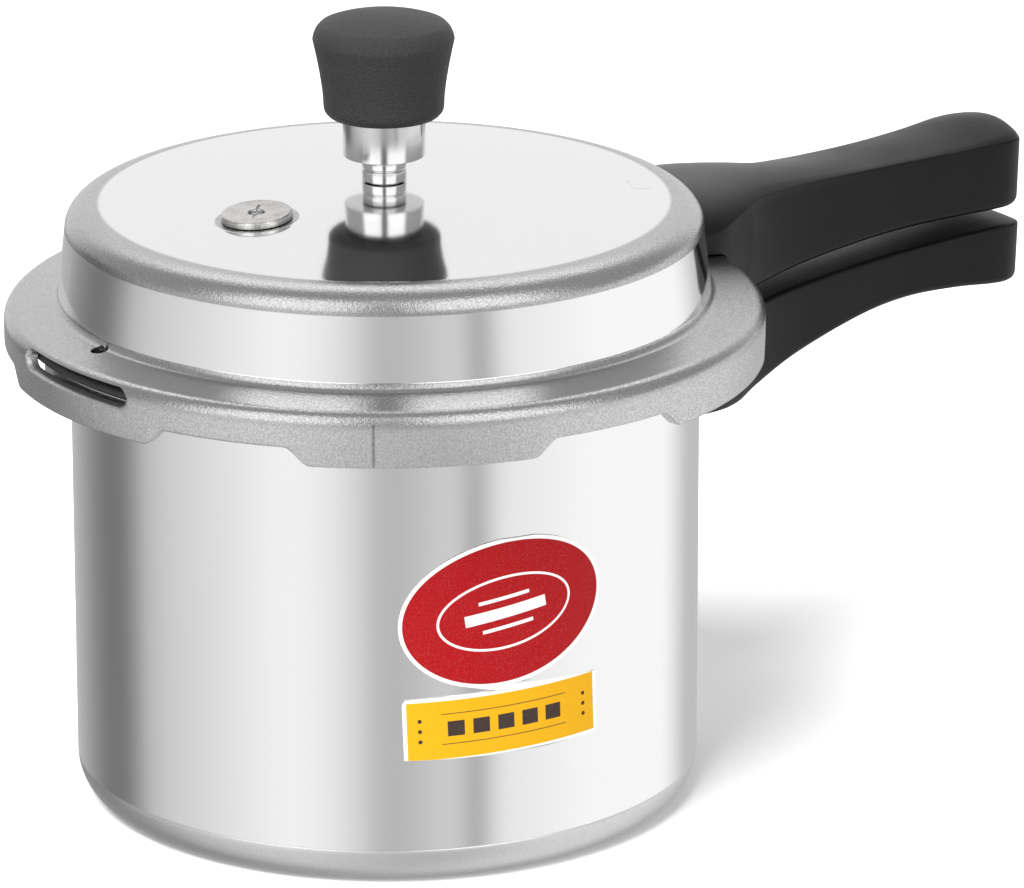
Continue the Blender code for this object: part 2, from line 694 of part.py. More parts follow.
def pan_bracket_sizes():
    """Where the bracket follows the wall and how far its tongue reaches."""
    return {
        "wall_at": constant(PAN_RADIUS),
        "half_angle": PAN_BRACKET_HALF_ANGLE,
        "foot": PAN_HEIGHT + PAN_BRACKET_FOOT,
        "top": PAN_HEIGHT + PAN_BRACKET_FOOT + PAN_BRACKET_HEIGHT,
        "tongue_foot": PAN_HEIGHT + PAN_TONGUE_FOOT,
        "tongue_end": PAN_RADIUS + PAN_TONGUE_LENGTH,
    }


def lid_bracket_sizes():
    foot = PAN_HEIGHT + LID_BRACKET_FOOT
    return {
        "wall_at": lid_wall_radius,
        "half_angle": LID_BRACKET_HALF_ANGLE,
        "foot": foot,
        "top": foot + LID_BRACKET_HEIGHT,
        "tongue_foot": foot + GAP,
        "tongue_end": PAN_RADIUS + LID_TONGUE_LENGTH,
    }


def plate_stations(sizes, spread=0.0, room=0.0):
    half = sizes["half_angle"] + spread
    return [(half * step / 3, sizes["foot"] - room, sizes["top"] + room) for step in range(-3, 4)]


def make_bracket(name, sizes, steel, parent):
    """A plate that follows the wall, with a flat tongue that reaches out into the handle."""

    def inner_at(level):
        return sizes["wall_at"](level) + GAP

    def outer_at(level):
        return inner_at(level) + BRACKET_SHEET

    bracket = make_piece(name, wrapped(inner_at, outer_at, plate_stations(sizes)), steel, parent)
    tongue_foot = sizes["tongue_foot"]
    low = (inner_at(tongue_foot) + BRACKET_SHEET / 2, -TONGUE_HALF_WIDTH, tongue_foot)
    high = (sizes["tongue_end"], TONGUE_HALF_WIDTH, tongue_foot + TONGUE_THICKNESS)
    combine(bracket, "UNION", f"{name}_tongue", block(low, high))
    return bracket


def add_threads(bracket, name, sizes, distances):
    """Holes through the tongue for the handle's screws."""
    foot = sizes["tongue_foot"] - TONGUE_THICKNESS
    top = sizes["tongue_foot"] + 2 * TONGUE_THICKNESS
    for number, distance in enumerate(distances, 1):
        hole = cut(bracket, f"{name}_thread_{number}", rod(SCREW_RADIUS + GAP, foot, top, 12))
        hole.location.x = PAN_RADIUS + distance


def make_pan_bracket(steel):
    sizes = pan_bracket_sizes()
    bracket = make_bracket("pan_bracket", sizes, steel, None)
    add_rivets(bracket, "pan_bracket", PAN_WALL, pan_rivet_places(), steel, None)
    add_threads(bracket, "pan_bracket", sizes, (PAN_SCREW_DISTANCE,))


def make_lid_bracket(steel, parent):
    sizes = lid_bracket_sizes()
    bracket = make_bracket("lid_bracket", sizes, steel, parent)
    add_rivets(bracket, "lid_bracket", LID_SHEET, lid_rivet_places(), steel, parent)
    add_threads(bracket, "lid_bracket", sizes, LID_SCREW_DISTANCES)


def add_rivets(bracket, name, sheet, places, steel, parent):
    """Holes through the bracket, and a rivet in each."""
    original = None
    for number, placing in enumerate(places, 1):
        hole = cut(bracket, f"{name}_hole_{number}", rivet_hole(sheet))
        hole.matrix_world = placing
        if original:
            copy_piece(f"{name}_rivet_{number}", original, placing, parent)
            continue
        original = make_piece(f"{name}_rivet_{number}", rivet(sheet), steel, parent)
        original.matrix_world = placing


# The handles' shared outline: distance, half width, then the lid handle's foot, side top and crown,
# and the pan handle's foot and top, each from the pan's rim. Distances run out from the pan's wall,
# and in the second list they run back from the tip.
HANDLE_ROOT = (
    (-0.0010, 0.0240, -0.0094, 0.0118, 0.0282, -0.0418, -0.0158),
    (0.0130, 0.0240, -0.0094, 0.0142, 0.0272, -0.0420, -0.0154),
    (0.0240, 0.0200, -0.0096, 0.0166, 0.0259, -0.0423, -0.0148),
    (0.0350, 0.0155, -0.0096, 0.0182, 0.0242, -0.0398, -0.0141),
    (0.0520, 0.0130, -0.0071, 0.0183, 0.0211, -0.0339, -0.0124),
)
HANDLE_GRIP = (
    (0.0604, 0.0128, -0.0042, 0.0182, 0.0192, -0.0270, -0.0101),
    (0.0429, 0.0135, -0.0028, 0.0183, 0.0195, -0.0242, -0.0087),
    (0.0259, 0.0152, -0.0021, 0.0187, 0.0208, -0.0240, -0.0074),
    (0.0120, 0.0167, -0.0018, 0.0193, 0.0230, -0.0249, -0.0064),
    (0.0056, 0.0160, -0.0016, 0.0194, 0.0232, -0.0250, -0.0063),
    (0.0018, 0.0131, -0.0010, 0.0191, 0.0226, -0.0246, -0.0068),
    (0.0000, 0.0086, 0.0000, 0.0183, 0.0211, -0.0236, -0.0078),
)


def handle_rows():
    root = [(PAN_RADIUS + distance, *rest) for distance, *rest in HANDLE_ROOT]
    grip = [(handle_tip - distance, *rest) for distance, *rest in HANDLE_GRIP]
    return root + grip


def curve_through(rows, steps):
    """Rows on a smooth curve through the given ones, with the same number of steps in each gap."""
    found = []
    last = len(rows) - 1
    for place in range(last):
        before, start = rows[max(place - 1, 0)], rows[place]
        end, after = rows[place + 1], rows[min(place + 2, last)]
        for step in range(steps):
            share = step / steps
            row = []
            for a, b, c, d in zip(before, start, end, after):
                bend = (2 * a - 5 * b + 4 * c - d) * share + (3 * b - a - 3 * c + d) * share**2
                row.append(b + (c - a + bend) * share / 2)
            found.append(row)
    return found + [list(rows[-1])]


def handle_section(x, half_width, foot, side_top, crown):
    """A ring round the handle: flat underneath, upright sides, and a crowned top between creased edges."""
    edge = HANDLE_EDGE
    low = arc((half_width - edge - HANDLE_SIDE_SLOPE, foot + edge), (edge, edge), -90.0, 0.0, 2)
    high = arc((half_width - edge / 2, side_top - edge / 2), (edge / 2, edge / 2), 0.0, 60.0, 1)
    top = []
    for share in (0.72, 0.42):
        top.append((half_width * share, side_top + (crown - side_top) * (1 - share**2)))
    half = low + high + top
    mirrored = [(-y, z) for y, z in reversed(half)]
    return [(x, y, PAN_HEIGHT + z) for y, z in half + [(0.0, crown)] + mirrored]


def lid_handle_columns(row):
    return row[2], row[3], row[4]


def pan_handle_columns(row):
    return row[5], row[6] - PAN_HANDLE_CROWN, row[6]


def lofted_handle(columns):
    rings = []
    for row in curve_through(handle_rows(), 2):
        x, half_width = row[0], row[1]
        foot, side_top, crown = columns(row)
        rings.append(handle_section(x, half_width, foot, side_top, crown))
    return lofted(rings)


def make_pocket(handle, name, sizes):
    """Room inside a handle's root for its bracket, tongue and rivet heads."""
    depth = GAP + BRACKET_SHEET + GAP + CROWN_SAG_GAP + RIVET_HEAD_HEIGHT + POCKET_GAP
    wall_at, tongue_foot = sizes["wall_at"], sizes["tongue_foot"]

    def inner_at(level):
        return wall_at(level) - PAN_WALL

    def outer_at(level):
        return wall_at(level) + depth

    stations = plate_stations(sizes, POCKET_SIDE_ANGLE, POCKET_GAP)
    cut(handle, f"{name}_pocket", wrapped(inner_at, outer_at, stations))
    across = TONGUE_HALF_WIDTH + POCKET_GAP
    low = (inner_at(tongue_foot), -across, tongue_foot - POCKET_GAP)
    high = (sizes["tongue_end"] + POCKET_GAP, across, tongue_foot + TONGUE_THICKNESS + POCKET_GAP)
    cut(handle, f"{name}_tongue_pocket", block(low, high))


def screw_well(handle, name, distance, seat, tongue_foot):
    """A stepped hole: a well for a screw's head up to the seat, then room for its shank up to the tongue."""
    shank_top = tongue_foot + TONGUE_THICKNESS / 2
    shank_room, head_room = SCREW_RADIUS + POCKET_GAP, SCREW_HEAD_RADIUS + POCKET_GAP
    outline = [
        (0.0, shank_top),
        (shank_room, shank_top),
        (shank_room, seat),
        (head_room, seat),
        (head_room, 0.0),
        (0.0, 0.0),
    ]
    well = cut(handle, f"{name}_well", turned_evenly(outline, COARSE))
    well.location.x = PAN_RADIUS + distance


def screw(seat, tongue_foot):
    """A slotted screw whose head hangs under the seat and whose shank goes up through the tongue."""
    head_foot = seat - SCREW_HEAD_HEIGHT
    edge = SCREW_HEAD_HEIGHT / 4
    outline = [
        (0.0, tongue_foot + TONGUE_THICKNESS + POCKET_GAP / 2),
        (SCREW_RADIUS, tongue_foot + TONGUE_THICKNESS + POCKET_GAP / 2),
        (SCREW_RADIUS, seat),
        (SCREW_HEAD_RADIUS, seat),
        (SCREW_HEAD_RADIUS, head_foot + edge),
        (SCREW_HEAD_RADIUS - edge, head_foot),
        (0.0, head_foot),
    ]
    return turned_evenly(outline, 16)


def add_screw(name, distance, seat, tongue_foot, steel, parent):
    piece = make_piece(name, screw(seat, tongue_foot), steel, parent)
    half_slot = SCREW_SLOT_WIDTH / 2
    slot_top = seat - SCREW_HEAD_HEIGHT + SCREW_SLOT_DEPTH
    low = (-2 * SCREW_HEAD_RADIUS, -half_slot, slot_top - SCREW_HEAD_HEIGHT)
    high = (2 * SCREW_HEAD_RADIUS, half_slot, slot_top)
    slot = cut(piece, f"{name}_slot", block(low, high))
    for item in (piece, slot):
        item.location.x = PAN_RADIUS + distance


def make_lid_handle(bakelite, steel, parent):
    handle = make_piece("lid_handle", lofted_handle(lid_handle_columns), bakelite, parent)
    room = HANDLE_CLEARANCE
    clearance = [
        (0.0, lid_top),
        (lid_wall_radius(lid_top) + room, lid_top),
        *lid_outer(room),
        (skirt_outer + room, skirt_deep - LID_SHEET),
        (0.0, skirt_deep - LID_SHEET),
    ]
    cut(handle, "lid_handle_seat", turned_evenly(clearance, 2 * FINE))
    sizes = lid_bracket_sizes()
    make_pocket(handle, "lid_handle", sizes)
    tongue_foot = sizes["tongue_foot"]
    seat = tongue_foot - SCREW_WALL
    for number, distance in enumerate(LID_SCREW_DISTANCES, 1):
        screw_well(handle, f"lid_handle_{number}", distance, seat, tongue_foot)
        add_screw(f"lid_handle_screw_{number}", distance, seat - GAP, tongue_foot, steel, parent)


def make_pan_handle(bakelite, steel):
    handle = make_piece("pan_handle", lofted_handle(pan_handle_columns), bakelite)
    wall_room = PAN_RADIUS + GAP + BRACKET_SHEET + HANDLE_CLEARANCE
    sweep_radius = skirt_outer + HANDLE_LID_CLEARANCE
    sweep_foot = skirt_deep - HANDLE_LID_CLEARANCE
    clearance = [
        (0.0, flange_top),
        (sweep_radius, flange_top),
        (sweep_radius, sweep_foot),
        (wall_room, sweep_foot),
        (wall_room, 0.0),
        (0.0, 0.0),
    ]
    cut(handle, "pan_handle_seat", turned_evenly(clearance, 2 * FINE))
    sizes = pan_bracket_sizes()
    make_pocket(handle, "pan_handle", sizes)
    tongue_foot = sizes["tongue_foot"]
    seat = tongue_foot - SCREW_WALL
    screw_well(handle, "pan_handle", PAN_SCREW_DISTANCE, seat, tongue_foot)
    washer_top = seat - GAP
    washer_foot = washer_top - SCREW_WASHER_THICKNESS
    washer_shape = tube(SCREW_RADIUS + GAP, SCREW_HEAD_RADIUS, washer_foot, washer_top, 16)
    washer = make_piece("pan_handle_washer", washer_shape, steel)
    washer.location.x = PAN_RADIUS + PAN_SCREW_DISTANCE
    add_screw("pan_handle_screw", PAN_SCREW_DISTANCE, washer_foot - GAP, tongue_foot, steel, None)


def leaning(point, lean, rise):
    """A point on the label turned by a lean, then moved up by a rise."""
    across, up = point
    level, steep = math.cos(lean), math.sin(lean)
    return across * level - up * steep, across * steep + up * level + rise


def upright(point, lean, rise):
    """The same point as leaning() took, found back from where it was moved to."""
    return leaning((point[0], point[1] - rise), -lean, 0.0)


def in_oval(point):
    across, up = upright(point, LABEL_TILT, LABEL_MIDDLE)
    return (across / LABEL_HALF_WIDTH) ** 2 + (up / LABEL_HALF_HEIGHT) ** 2 < 1.0


def in_band(point):
    across, up = upright(point, LABEL_BAND_TILT, LABEL_BAND_MIDDLE)
    return abs(across) < LABEL_BAND_HALF_WIDTH and abs(up) < LABEL_BAND_HALF_HEIGHT


def label_outline():
    """The outer line of an oval and a band that overlap, in order round a point that both hold."""
    corner = LABEL_BAND_CORNER
    inset = (LABEL_BAND_HALF_WIDTH - corner, LABEL_BAND_HALF_HEIGHT - corner)
    oval = []
    for point in arc((0.0, 0.0), (LABEL_HALF_WIDTH, LABEL_HALF_HEIGHT), 0.0, 360.0, 28)[:-1]:
        oval.append(leaning(point, LABEL_TILT, LABEL_MIDDLE))
    band = []
    for turn, (side, end) in enumerate(((1, 1), (-1, 1), (-1, -1), (1, -1))):
        centre = (side * inset[0], end * inset[1])
        for point in arc(centre, (corner, corner), 90.0 * turn, 90.0 * turn + 90.0, 2):
            band.append(leaning(point, LABEL_BAND_TILT, LABEL_BAND_MIDDLE))
    kept = [point for point in oval if not in_band(point)]
    kept += [point for point in band if not in_oval(point)]
    shared = (LABEL_BAND_MIDDLE + LABEL_BAND_HALF_HEIGHT + LABEL_MIDDLE - LABEL_HALF_HEIGHT) / 2
    kept.sort(key=lambda point: math.atan2(point[1] - shared, point[0]))
    return kept


def make_label(paper):
    """A thin plate bent round the pan's wall: an outline cut into strips, thickened and wrapped."""
    shape = bmesh.new()
    shape.faces.new([shape.verts.new((across, up, 0.0)) for across, up in label_outline()])
    strips = 12
    for strip in range(1, strips):
        at = LABEL_BAND_HALF_WIDTH * (2 * strip / strips - 1)
        geometry = shape.verts[:] + shape.edges[:] + shape.faces[:]
        bmesh.ops.bisect_plane(shape, geom=geometry, plane_co=(at, 0, 0), plane_no=(1, 0, 0))
    extruded = bmesh.ops.extrude_face_region(shape, geom=shape.faces[:])["geom"]
    outer = {vertex for vertex in extruded if isinstance(vertex, bmesh.types.BMVert)}
    inner_radius = PAN_RADIUS + GAP
    for vertex in shape.verts:
        radius = inner_radius + LABEL_THICKNESS if vertex in outer else inner_radius
        azimuth = math.radians(LABEL_AZIMUTH) + vertex.co.x / PAN_RADIUS
        vertex.co = Vector((radius * math.cos(azimuth), radius * math.sin(azimuth), vertex.co.y))
    make_piece("front_label", shape, paper)


def main():
    for obj in list(bpy.data.objects):
        bpy.data.objects.remove(obj)
    aluminium = make_material("aluminium", (0.80, 0.80, 0.81), 0.22, 1.0)
    rubber = make_material("black_rubber", (0.02, 0.02, 0.02), 0.60, 0.0)
    bakelite = make_material("black_bakelite", (0.015, 0.015, 0.016), 0.38, 0.0)
    chrome = make_material("chrome", (0.78, 0.78, 0.79), 0.08, 1.0)
    brass = make_material("nickelled_brass", (0.70, 0.68, 0.62), 0.20, 1.0)
    steel = make_material("zinc_steel", (0.60, 0.60, 0.61), 0.32, 1.0)
    alloy = make_material("fusible_alloy", (0.42, 0.42, 0.44), 0.45, 1.0)
    paper = make_material("label", (0.75, 0.05, 0.06), 0.35, 0.0)

    make_pan(aluminium)
    make_pan_bracket(steel)
    make_pan_handle(bakelite, steel)
    make_label(paper)

    lid_axis = make_axis("lid_turn_axis", PAN_HEIGHT)
    make_lid(aluminium, lid_axis)
    make_gasket(rubber, lid_axis)
    make_lid_bracket(steel, lid_axis)
    make_lid_handle(bakelite, steel, lid_axis)
    make_vent(brass, steel, lid_axis)
    make_safety_plug(steel, brass, alloy, lid_axis)

    clip_axis = make_axis("weight_lift_axis", weight_foot, lid_axis)
    weight_axis = make_axis("weight_spin_axis", weight_foot, clip_axis)
    make_weight(chrome, steel, bakelite, clip_axis, weight_axis)


main()
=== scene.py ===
import math

import bmesh
import bpy
from mathutils import Matrix, Vector


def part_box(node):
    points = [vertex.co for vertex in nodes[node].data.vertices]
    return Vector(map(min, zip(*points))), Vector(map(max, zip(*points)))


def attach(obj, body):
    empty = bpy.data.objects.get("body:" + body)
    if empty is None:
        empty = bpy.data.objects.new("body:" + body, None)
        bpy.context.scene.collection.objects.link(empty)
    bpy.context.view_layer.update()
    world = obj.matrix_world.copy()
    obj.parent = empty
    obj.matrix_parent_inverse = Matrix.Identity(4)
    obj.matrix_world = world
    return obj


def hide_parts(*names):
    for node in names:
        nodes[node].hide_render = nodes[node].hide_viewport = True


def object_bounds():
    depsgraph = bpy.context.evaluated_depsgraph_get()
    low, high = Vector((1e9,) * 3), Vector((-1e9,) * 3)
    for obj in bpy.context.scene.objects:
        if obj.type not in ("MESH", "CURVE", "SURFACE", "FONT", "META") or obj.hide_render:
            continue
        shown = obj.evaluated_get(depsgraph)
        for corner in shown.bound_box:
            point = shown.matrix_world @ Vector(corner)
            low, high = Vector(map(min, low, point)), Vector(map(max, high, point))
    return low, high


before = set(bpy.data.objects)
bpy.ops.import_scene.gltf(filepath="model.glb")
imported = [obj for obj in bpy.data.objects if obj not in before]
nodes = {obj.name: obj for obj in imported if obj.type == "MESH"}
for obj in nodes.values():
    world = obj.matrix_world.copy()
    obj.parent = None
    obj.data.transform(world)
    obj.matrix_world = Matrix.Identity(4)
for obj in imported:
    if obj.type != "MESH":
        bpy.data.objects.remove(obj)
cadLow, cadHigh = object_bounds()
panBox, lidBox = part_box("pan"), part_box("lid")
panRimTop = panBox[1].z
skirtOuter, lidTop = lidBox[1].x, lidBox[1].z
skirtFoot = lidBox[0].z
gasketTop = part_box("gasket")[1].z
sheet = 0.00325  # wall thickness of the pan and the lid
gap = 0.0003
print("frame loaded")


# node helpers: each adds one node, fed by numbers or by other nodes, and gives back what it puts out

def feed(tree, value, socket):
    if isinstance(value, bpy.types.NodeSocket):
        tree.links.new(value, socket)
    elif value is not None:
        socket.default_value = value


def addNode(tree, kind, fed=None, **settings):
    node = tree.nodes.new(kind)
    for name, value in settings.items():
        setattr(node, name, value)
    for key, value in (fed or {}).items():
        feed(tree, value, node.inputs[key])
    return node


def calc(tree, operation, *values):
    return addNode(tree, "ShaderNodeMath", dict(enumerate(values)), operation=operation).outputs[0]


def chained(operation):
    # a sum that takes two or more values
    def worked(tree, total, *others):
        for value in others:
            total = calc(tree, operation, total, value)
        return total
    return worked


plus, minus, times, highest = (chained(name) for name in ("ADD", "SUBTRACT", "MULTIPLY", "MAXIMUM"))


def fade(tree, value, start, end, low=0.0, high=1.0):
    # a soft step from low to high while value goes from start to end
    fed = {"Value": value, "From Min": start, "From Max": end, "To Min": low, "To Max": high}
    return addNode(tree, "ShaderNodeMapRange", fed, interpolation_type="SMOOTHSTEP").outputs["Result"]


def within(tree, value, start, end, soft):
    # 1 between start and end, with soft edges
    rise = fade(tree, value, start - soft, start + soft)
    return times(tree, rise, fade(tree, value, end - soft, end + soft, 1.0, 0.0))


def blendColour(tree, factor, first, second):
    return addNode(tree, "ShaderNodeMix", {0: factor, 6: first, 7: second}, data_type="RGBA").outputs[2]


def noiseOf(tree, vector, scale, detail=3.0, roughness=0.5):
    fed = {"Vector": vector, "Scale": scale, "Detail": detail, "Roughness": roughness}
    return addNode(tree, "ShaderNodeTexNoise", fed).outputs["Fac"]


def joinXyz(tree, *values):
    return addNode(tree, "ShaderNodeCombineXYZ", dict(enumerate(values))).outputs[0]


def splitXyz(tree, vector):
    return addNode(tree, "ShaderNodeSeparateXYZ", {0: vector}).outputs


def distanceOf(tree, x, y):
    return calc(tree, "SQRT", plus(tree, times(tree, x, x), times(tree, y, y)))


def placeOf(tree):
    # Object coordinates with the distance from the upright axis
    vector = tree.nodes.new("ShaderNodeTexCoord").outputs["Object"]
    x, y, z = splitXyz(tree, vector)
    return {"vector": vector, "x": x, "y": y, "z": z, "radius": distanceOf(tree, x, y)}


def newTree(name, kind, inputs, outputs):
    # an input is a number to start from or the name of a kind of socket
    tree = bpy.data.node_groups.new(name, kind)
    for label, value in inputs.items():
        number = "Int" if isinstance(value, int) else "Float"
        socketKind = value if isinstance(value, str) else number
        socket = tree.interface.new_socket(label, in_out="INPUT", socket_type="NodeSocket" + socketKind)
        if socketKind is number:
            socket.default_value = value
    for label in outputs:
        tree.interface.new_socket(label, in_out="OUTPUT", socket_type="NodeSocket" + outputs[label])
    return tree, tree.nodes.new("NodeGroupInput").outputs, tree.nodes.new("NodeGroupOutput").inputs


def newEffect(name, inputs, *outputs):
    # a shader node group that reads a place and puts out numbers
    return newTree(name, "ShaderNodeTree", {"vector": "Vector", **inputs}, dict.fromkeys(outputs, "Float"))


def perSize(tree, size):
    return calc(tree, "DIVIDE", 1.0, size)


def makeBlastedGrain():
    # the sandy skin of pressed and tumbled aluminium
    sizes = {"grainSize": 0.0005, "patchiness": 0.5}
    tree, given, result = newEffect("blastedGrain", sizes, "height", "mask")
    scale = perSize(tree, given["grainSize"])
    fine = noiseOf(tree, given["vector"], scale, 2.0, 0.6)
    coarse = noiseOf(tree, given["vector"], times(tree, scale, 0.45), 1.0)
    patches = noiseOf(tree, given["vector"], 45.0, 2.0)
    height = plus(tree, times(tree, fine, 0.6), times(tree, coarse, 0.4))
    strength = minus(tree, 1.0, times(tree, given["patchiness"], patches))
    feed(tree, times(tree, height, strength), result["height"])
    feed(tree, fade(tree, fine, 0.35, 0.65), result["mask"])
    return tree


def makeTurnedLines():
    # fine rings that a lathe or a polishing wheel leaves, broken up along their length
    sizes = {"radius": 0.0, "level": 0.0, "lineWidth": 0.0002}
    tree, given, result = newEffect("turnedLines", sizes, "height", "mask")
    scale = perSize(tree, given["lineWidth"])
    fed = {0: given["vector"], "Scale": 14.0}
    along = addNode(tree, "ShaderNodeVectorMath", fed, operation="SCALE").outputs[0]
    sweep = times(tree, noiseOf(tree, along, 1.0, 1.0), 0.35)
    across, up = (plus(tree, times(tree, given[name], scale), sweep) for name in ("radius", "level"))
    lines = noiseOf(tree, joinXyz(tree, across, up, sweep), 1.0, 2.0, 0.7)
    feed(tree, lines, result["height"])
    feed(tree, fade(tree, lines, 0.3, 0.7), result["mask"])
    return tree


def makeHandledSkin():
    # soft smudges and a few hairline marks from use
    tree, given, result = newEffect("handledSkin", {"smudgeSize": 0.03, "markSize": 0.004}, "smudge", "marks")
    wide = noiseOf(tree, given["vector"], perSize(tree, given["smudgeSize"]), 3.0)
    stretch = {"Vector": given["vector"], "Scale": (1.0, 1.0, 7.0), "Rotation": (0.35, 0.2, 0.5)}
    stretched = addNode(tree, "ShaderNodeMapping", stretch).outputs[0]
    hair = noiseOf(tree, stretched, perSize(tree, given["markSize"]), 4.0, 0.7)
    feed(tree, fade(tree, wide, 0.35, 0.7), result["smudge"])
    feed(tree, fade(tree, hair, 0.62, 0.72), result["marks"])
    return tree


def makeMouldedSkin():
    # the faint orange peel of a moulded plastic
    sizes = {"peelSize": 0.0009, "speckSize": 0.00035}
    tree, given, result = newEffect("mouldedSkin", sizes, "height", "specks")
    peel = noiseOf(tree, given["vector"], perSize(tree, given["peelSize"]), 2.0)
    speck = noiseOf(tree, given["vector"], perSize(tree, given["speckSize"]), 1.0)
    feed(tree, plus(tree, times(tree, peel, 0.7), times(tree, speck, 0.3)), result["height"])
    feed(tree, fade(tree, speck, 0.55, 0.75), result["specks"])
    return tree


blastedGrain, turnedLines = makeBlastedGrain(), makeTurnedLines()
handledSkin, mouldedSkin = makeHandledSkin(), makeMouldedSkin()


def useEffect(tree, group, place, **values):
    return addNode(tree, "ShaderNodeGroup", {"vector": place["vector"], **values}, node_tree=group).outputs


def ringsOf(tree, place, lineWidth):
    return useEffect(tree, turnedLines, place, radius=place["radius"], level=place["z"], lineWidth=lineWidth)


def startMaterial(name):
    material = bpy.data.materials.new(name)
    material.use_nodes = True
    return material, material.node_tree, placeOf(material.node_tree)


def finishMaterial(material, colour, roughness, height, depth, constants):
    # colour, roughness and bump change over the surface; the constants stay on the shader's own sockets
    tree = material.node_tree
    shader = tree.nodes["Principled BSDF"]
    for label, value in {"Base Color": colour, "Roughness": roughness, **constants}.items():
        feed(tree, value, shader.inputs[label])
    bump = addNode(tree, "ShaderNodeBump", {"Distance": depth, "Strength": 1.0, "Height": height})
    feed(tree, bump.outputs["Normal"], shader.inputs["Normal"])
    return material


def grey(shade):
    return (shade, shade, shade, 1.0)


def zonedAluminium(name, look, polishedAt):
    # polished where polishedAt says, sand-grained elsewhere, with turned rings and smudges over both
    material, tree, place = startMaterial(name)
    polished = polishedAt(tree, place)
    dull = minus(tree, 1.0, polished)
    grain = useEffect(tree, blastedGrain, place, grainSize=look["grainSize"])
    rings = ringsOf(tree, place, look["lineWidth"])
    skin = useEffect(tree, handledSkin, place)
    sanded = times(tree, grain["mask"], dull)
    below = fade(tree, place["z"], look["matBelow"] - 0.002, look["matBelow"] + 0.001, 1.0, 0.0)
    low = times(tree, dull, below)
    roughness = plus(
        tree, fade(tree, polished, 0.0, 1.0, look["satinRoughness"], look["polishedRoughness"]),
        times(tree, low, look["matRoughness"]), times(tree, skin["smudge"], look["smudge"]),
        times(tree, skin["marks"], look["smudge"] * 0.6), times(tree, sanded, 0.08),
    )
    metal = blendColour(tree, dull, look["colour"], look["satinColour"])
    metal = blendColour(tree, low, metal, look["matColour"])
    colour = blendColour(tree, times(tree, sanded, look["grainShade"]), metal, look["grainColour"])
    grainHeight = times(tree, grain["height"], dull, look["grainDepth"])
    height = plus(tree, grainHeight, times(tree, rings["height"], look["ringDepth"]))
    return finishMaterial(material, colour, roughness, height, 0.001, {"Metallic": 1.0})


def turnedMetal(name, look):
    # lathe-turned metal such as chrome, steel or brass
    material, tree, place = startMaterial(name)
    rings = ringsOf(tree, place, look["lineWidth"])
    skin = useEffect(tree, handledSkin, place, smudgeSize=look["smudgeSize"])
    stained = times(tree, skin["smudge"], look["stain"])
    colour = blendColour(tree, stained, look["colour"], look["stainColour"])
    ringed = times(tree, rings["mask"], look["ringRoughness"])
    roughness = plus(tree, look["roughness"], ringed, times(tree, skin["marks"], 0.05))
    height = plus(tree, rings["height"], times(tree, skin["marks"], -0.3))
    return finishMaterial(material, colour, roughness, height, look["depth"], {"Metallic": 1.0})


panLook = {
    "colour": grey(0.93), "satinColour": grey(0.78), "matColour": grey(0.74),
    "grainColour": (0.52, 0.52, 0.53, 1.0),
    "grainShade": 0.3, "grainSize": 0.0004, "grainDepth": 0.06, "lineWidth": 0.0004, "ringDepth": 0.002,
    "satinRoughness": 0.34, "polishedRoughness": 0.10, "matRoughness": 0.05, "smudge": 0.03,
    "matBelow": 0.0100, "cornerTop": 0.0106, "wallOutside": 0.0875,
}
lidLook = {
    "colour": grey(0.93), "satinColour": grey(0.56), "matColour": grey(0.74),
    "grainColour": (0.30, 0.30, 0.31, 1.0),
    "grainShade": 0.45, "grainSize": 0.0005, "grainDepth": 0.17, "lineWidth": 0.0004, "ringDepth": 0.002,
    "satinRoughness": 0.17, "polishedRoughness": 0.08, "matRoughness": 0.22, "smudge": 0.02,
    "matBelow": 0.1400, "crownRadius": 0.0808, "crownAbove": 0.1700, "seatRing": 0.0117,
    "wallLow": 0.1472, "wallHigh": 0.1655, "wallOutside": 0.0892,
}
softEdge = 0.0003  # half the width over which polish ends


def edged(tree, value, middle):
    return fade(tree, value, middle - softEdge, middle + softEdge)


def panPolish(tree, place):
    outside = fade(tree, place["radius"], panLook["wallOutside"], panLook["wallOutside"] + 0.0003)
    return times(tree, edged(tree, place["z"], panLook["cornerTop"]), outside)


def lidPolish(tree, place):
    look = lidLook
    centre = plugPlace().translation
    away = distanceOf(tree, minus(tree, place["x"], centre.x), minus(tree, place["y"], centre.y))
    inside = fade(tree, place["radius"], look["crownRadius"] - 0.0010, look["crownRadius"] + 0.0004, 1.0, 0.0)
    above = fade(tree, place["z"], look["crownAbove"], look["crownAbove"] + 0.0002)
    crown = times(tree, inside, above, edged(tree, away, look["seatRing"]))
    upright = within(tree, place["z"], look["wallLow"], look["wallHigh"], 0.0002)
    outside = fade(tree, place["radius"], look["wallOutside"], look["wallOutside"] + 0.0002)
    return highest(tree, crown, times(tree, upright, outside))


chrome = turnedMetal("chromePlate", {
    "colour": grey(0.70), "stainColour": (0.50, 0.49, 0.48, 1.0), "stain": 0.3, "roughness": 0.13,
    "ringRoughness": 0.07, "lineWidth": 0.00012, "depth": 0.0000015, "smudgeSize": 0.006,
})
zincSteel = turnedMetal("zincSteel", {
    "colour": (0.62, 0.62, 0.63, 1.0), "stainColour": (0.42, 0.41, 0.39, 1.0), "stain": 0.35,
    "roughness": 0.28, "ringRoughness": 0.12, "lineWidth": 0.00025, "depth": 0.000006, "smudgeSize": 0.008,
})
brassMetal = turnedMetal("machinedBrass", {
    "colour": (0.78, 0.62, 0.34, 1.0), "stainColour": (0.46, 0.34, 0.18, 1.0), "stain": 0.45,
    "roughness": 0.24, "ringRoughness": 0.10, "lineWidth": 0.0002, "depth": 0.000004, "smudgeSize": 0.006,
})


def cappedSum(tree, *values):
    return calc(tree, "MINIMUM", plus(tree, *values), 1.0)


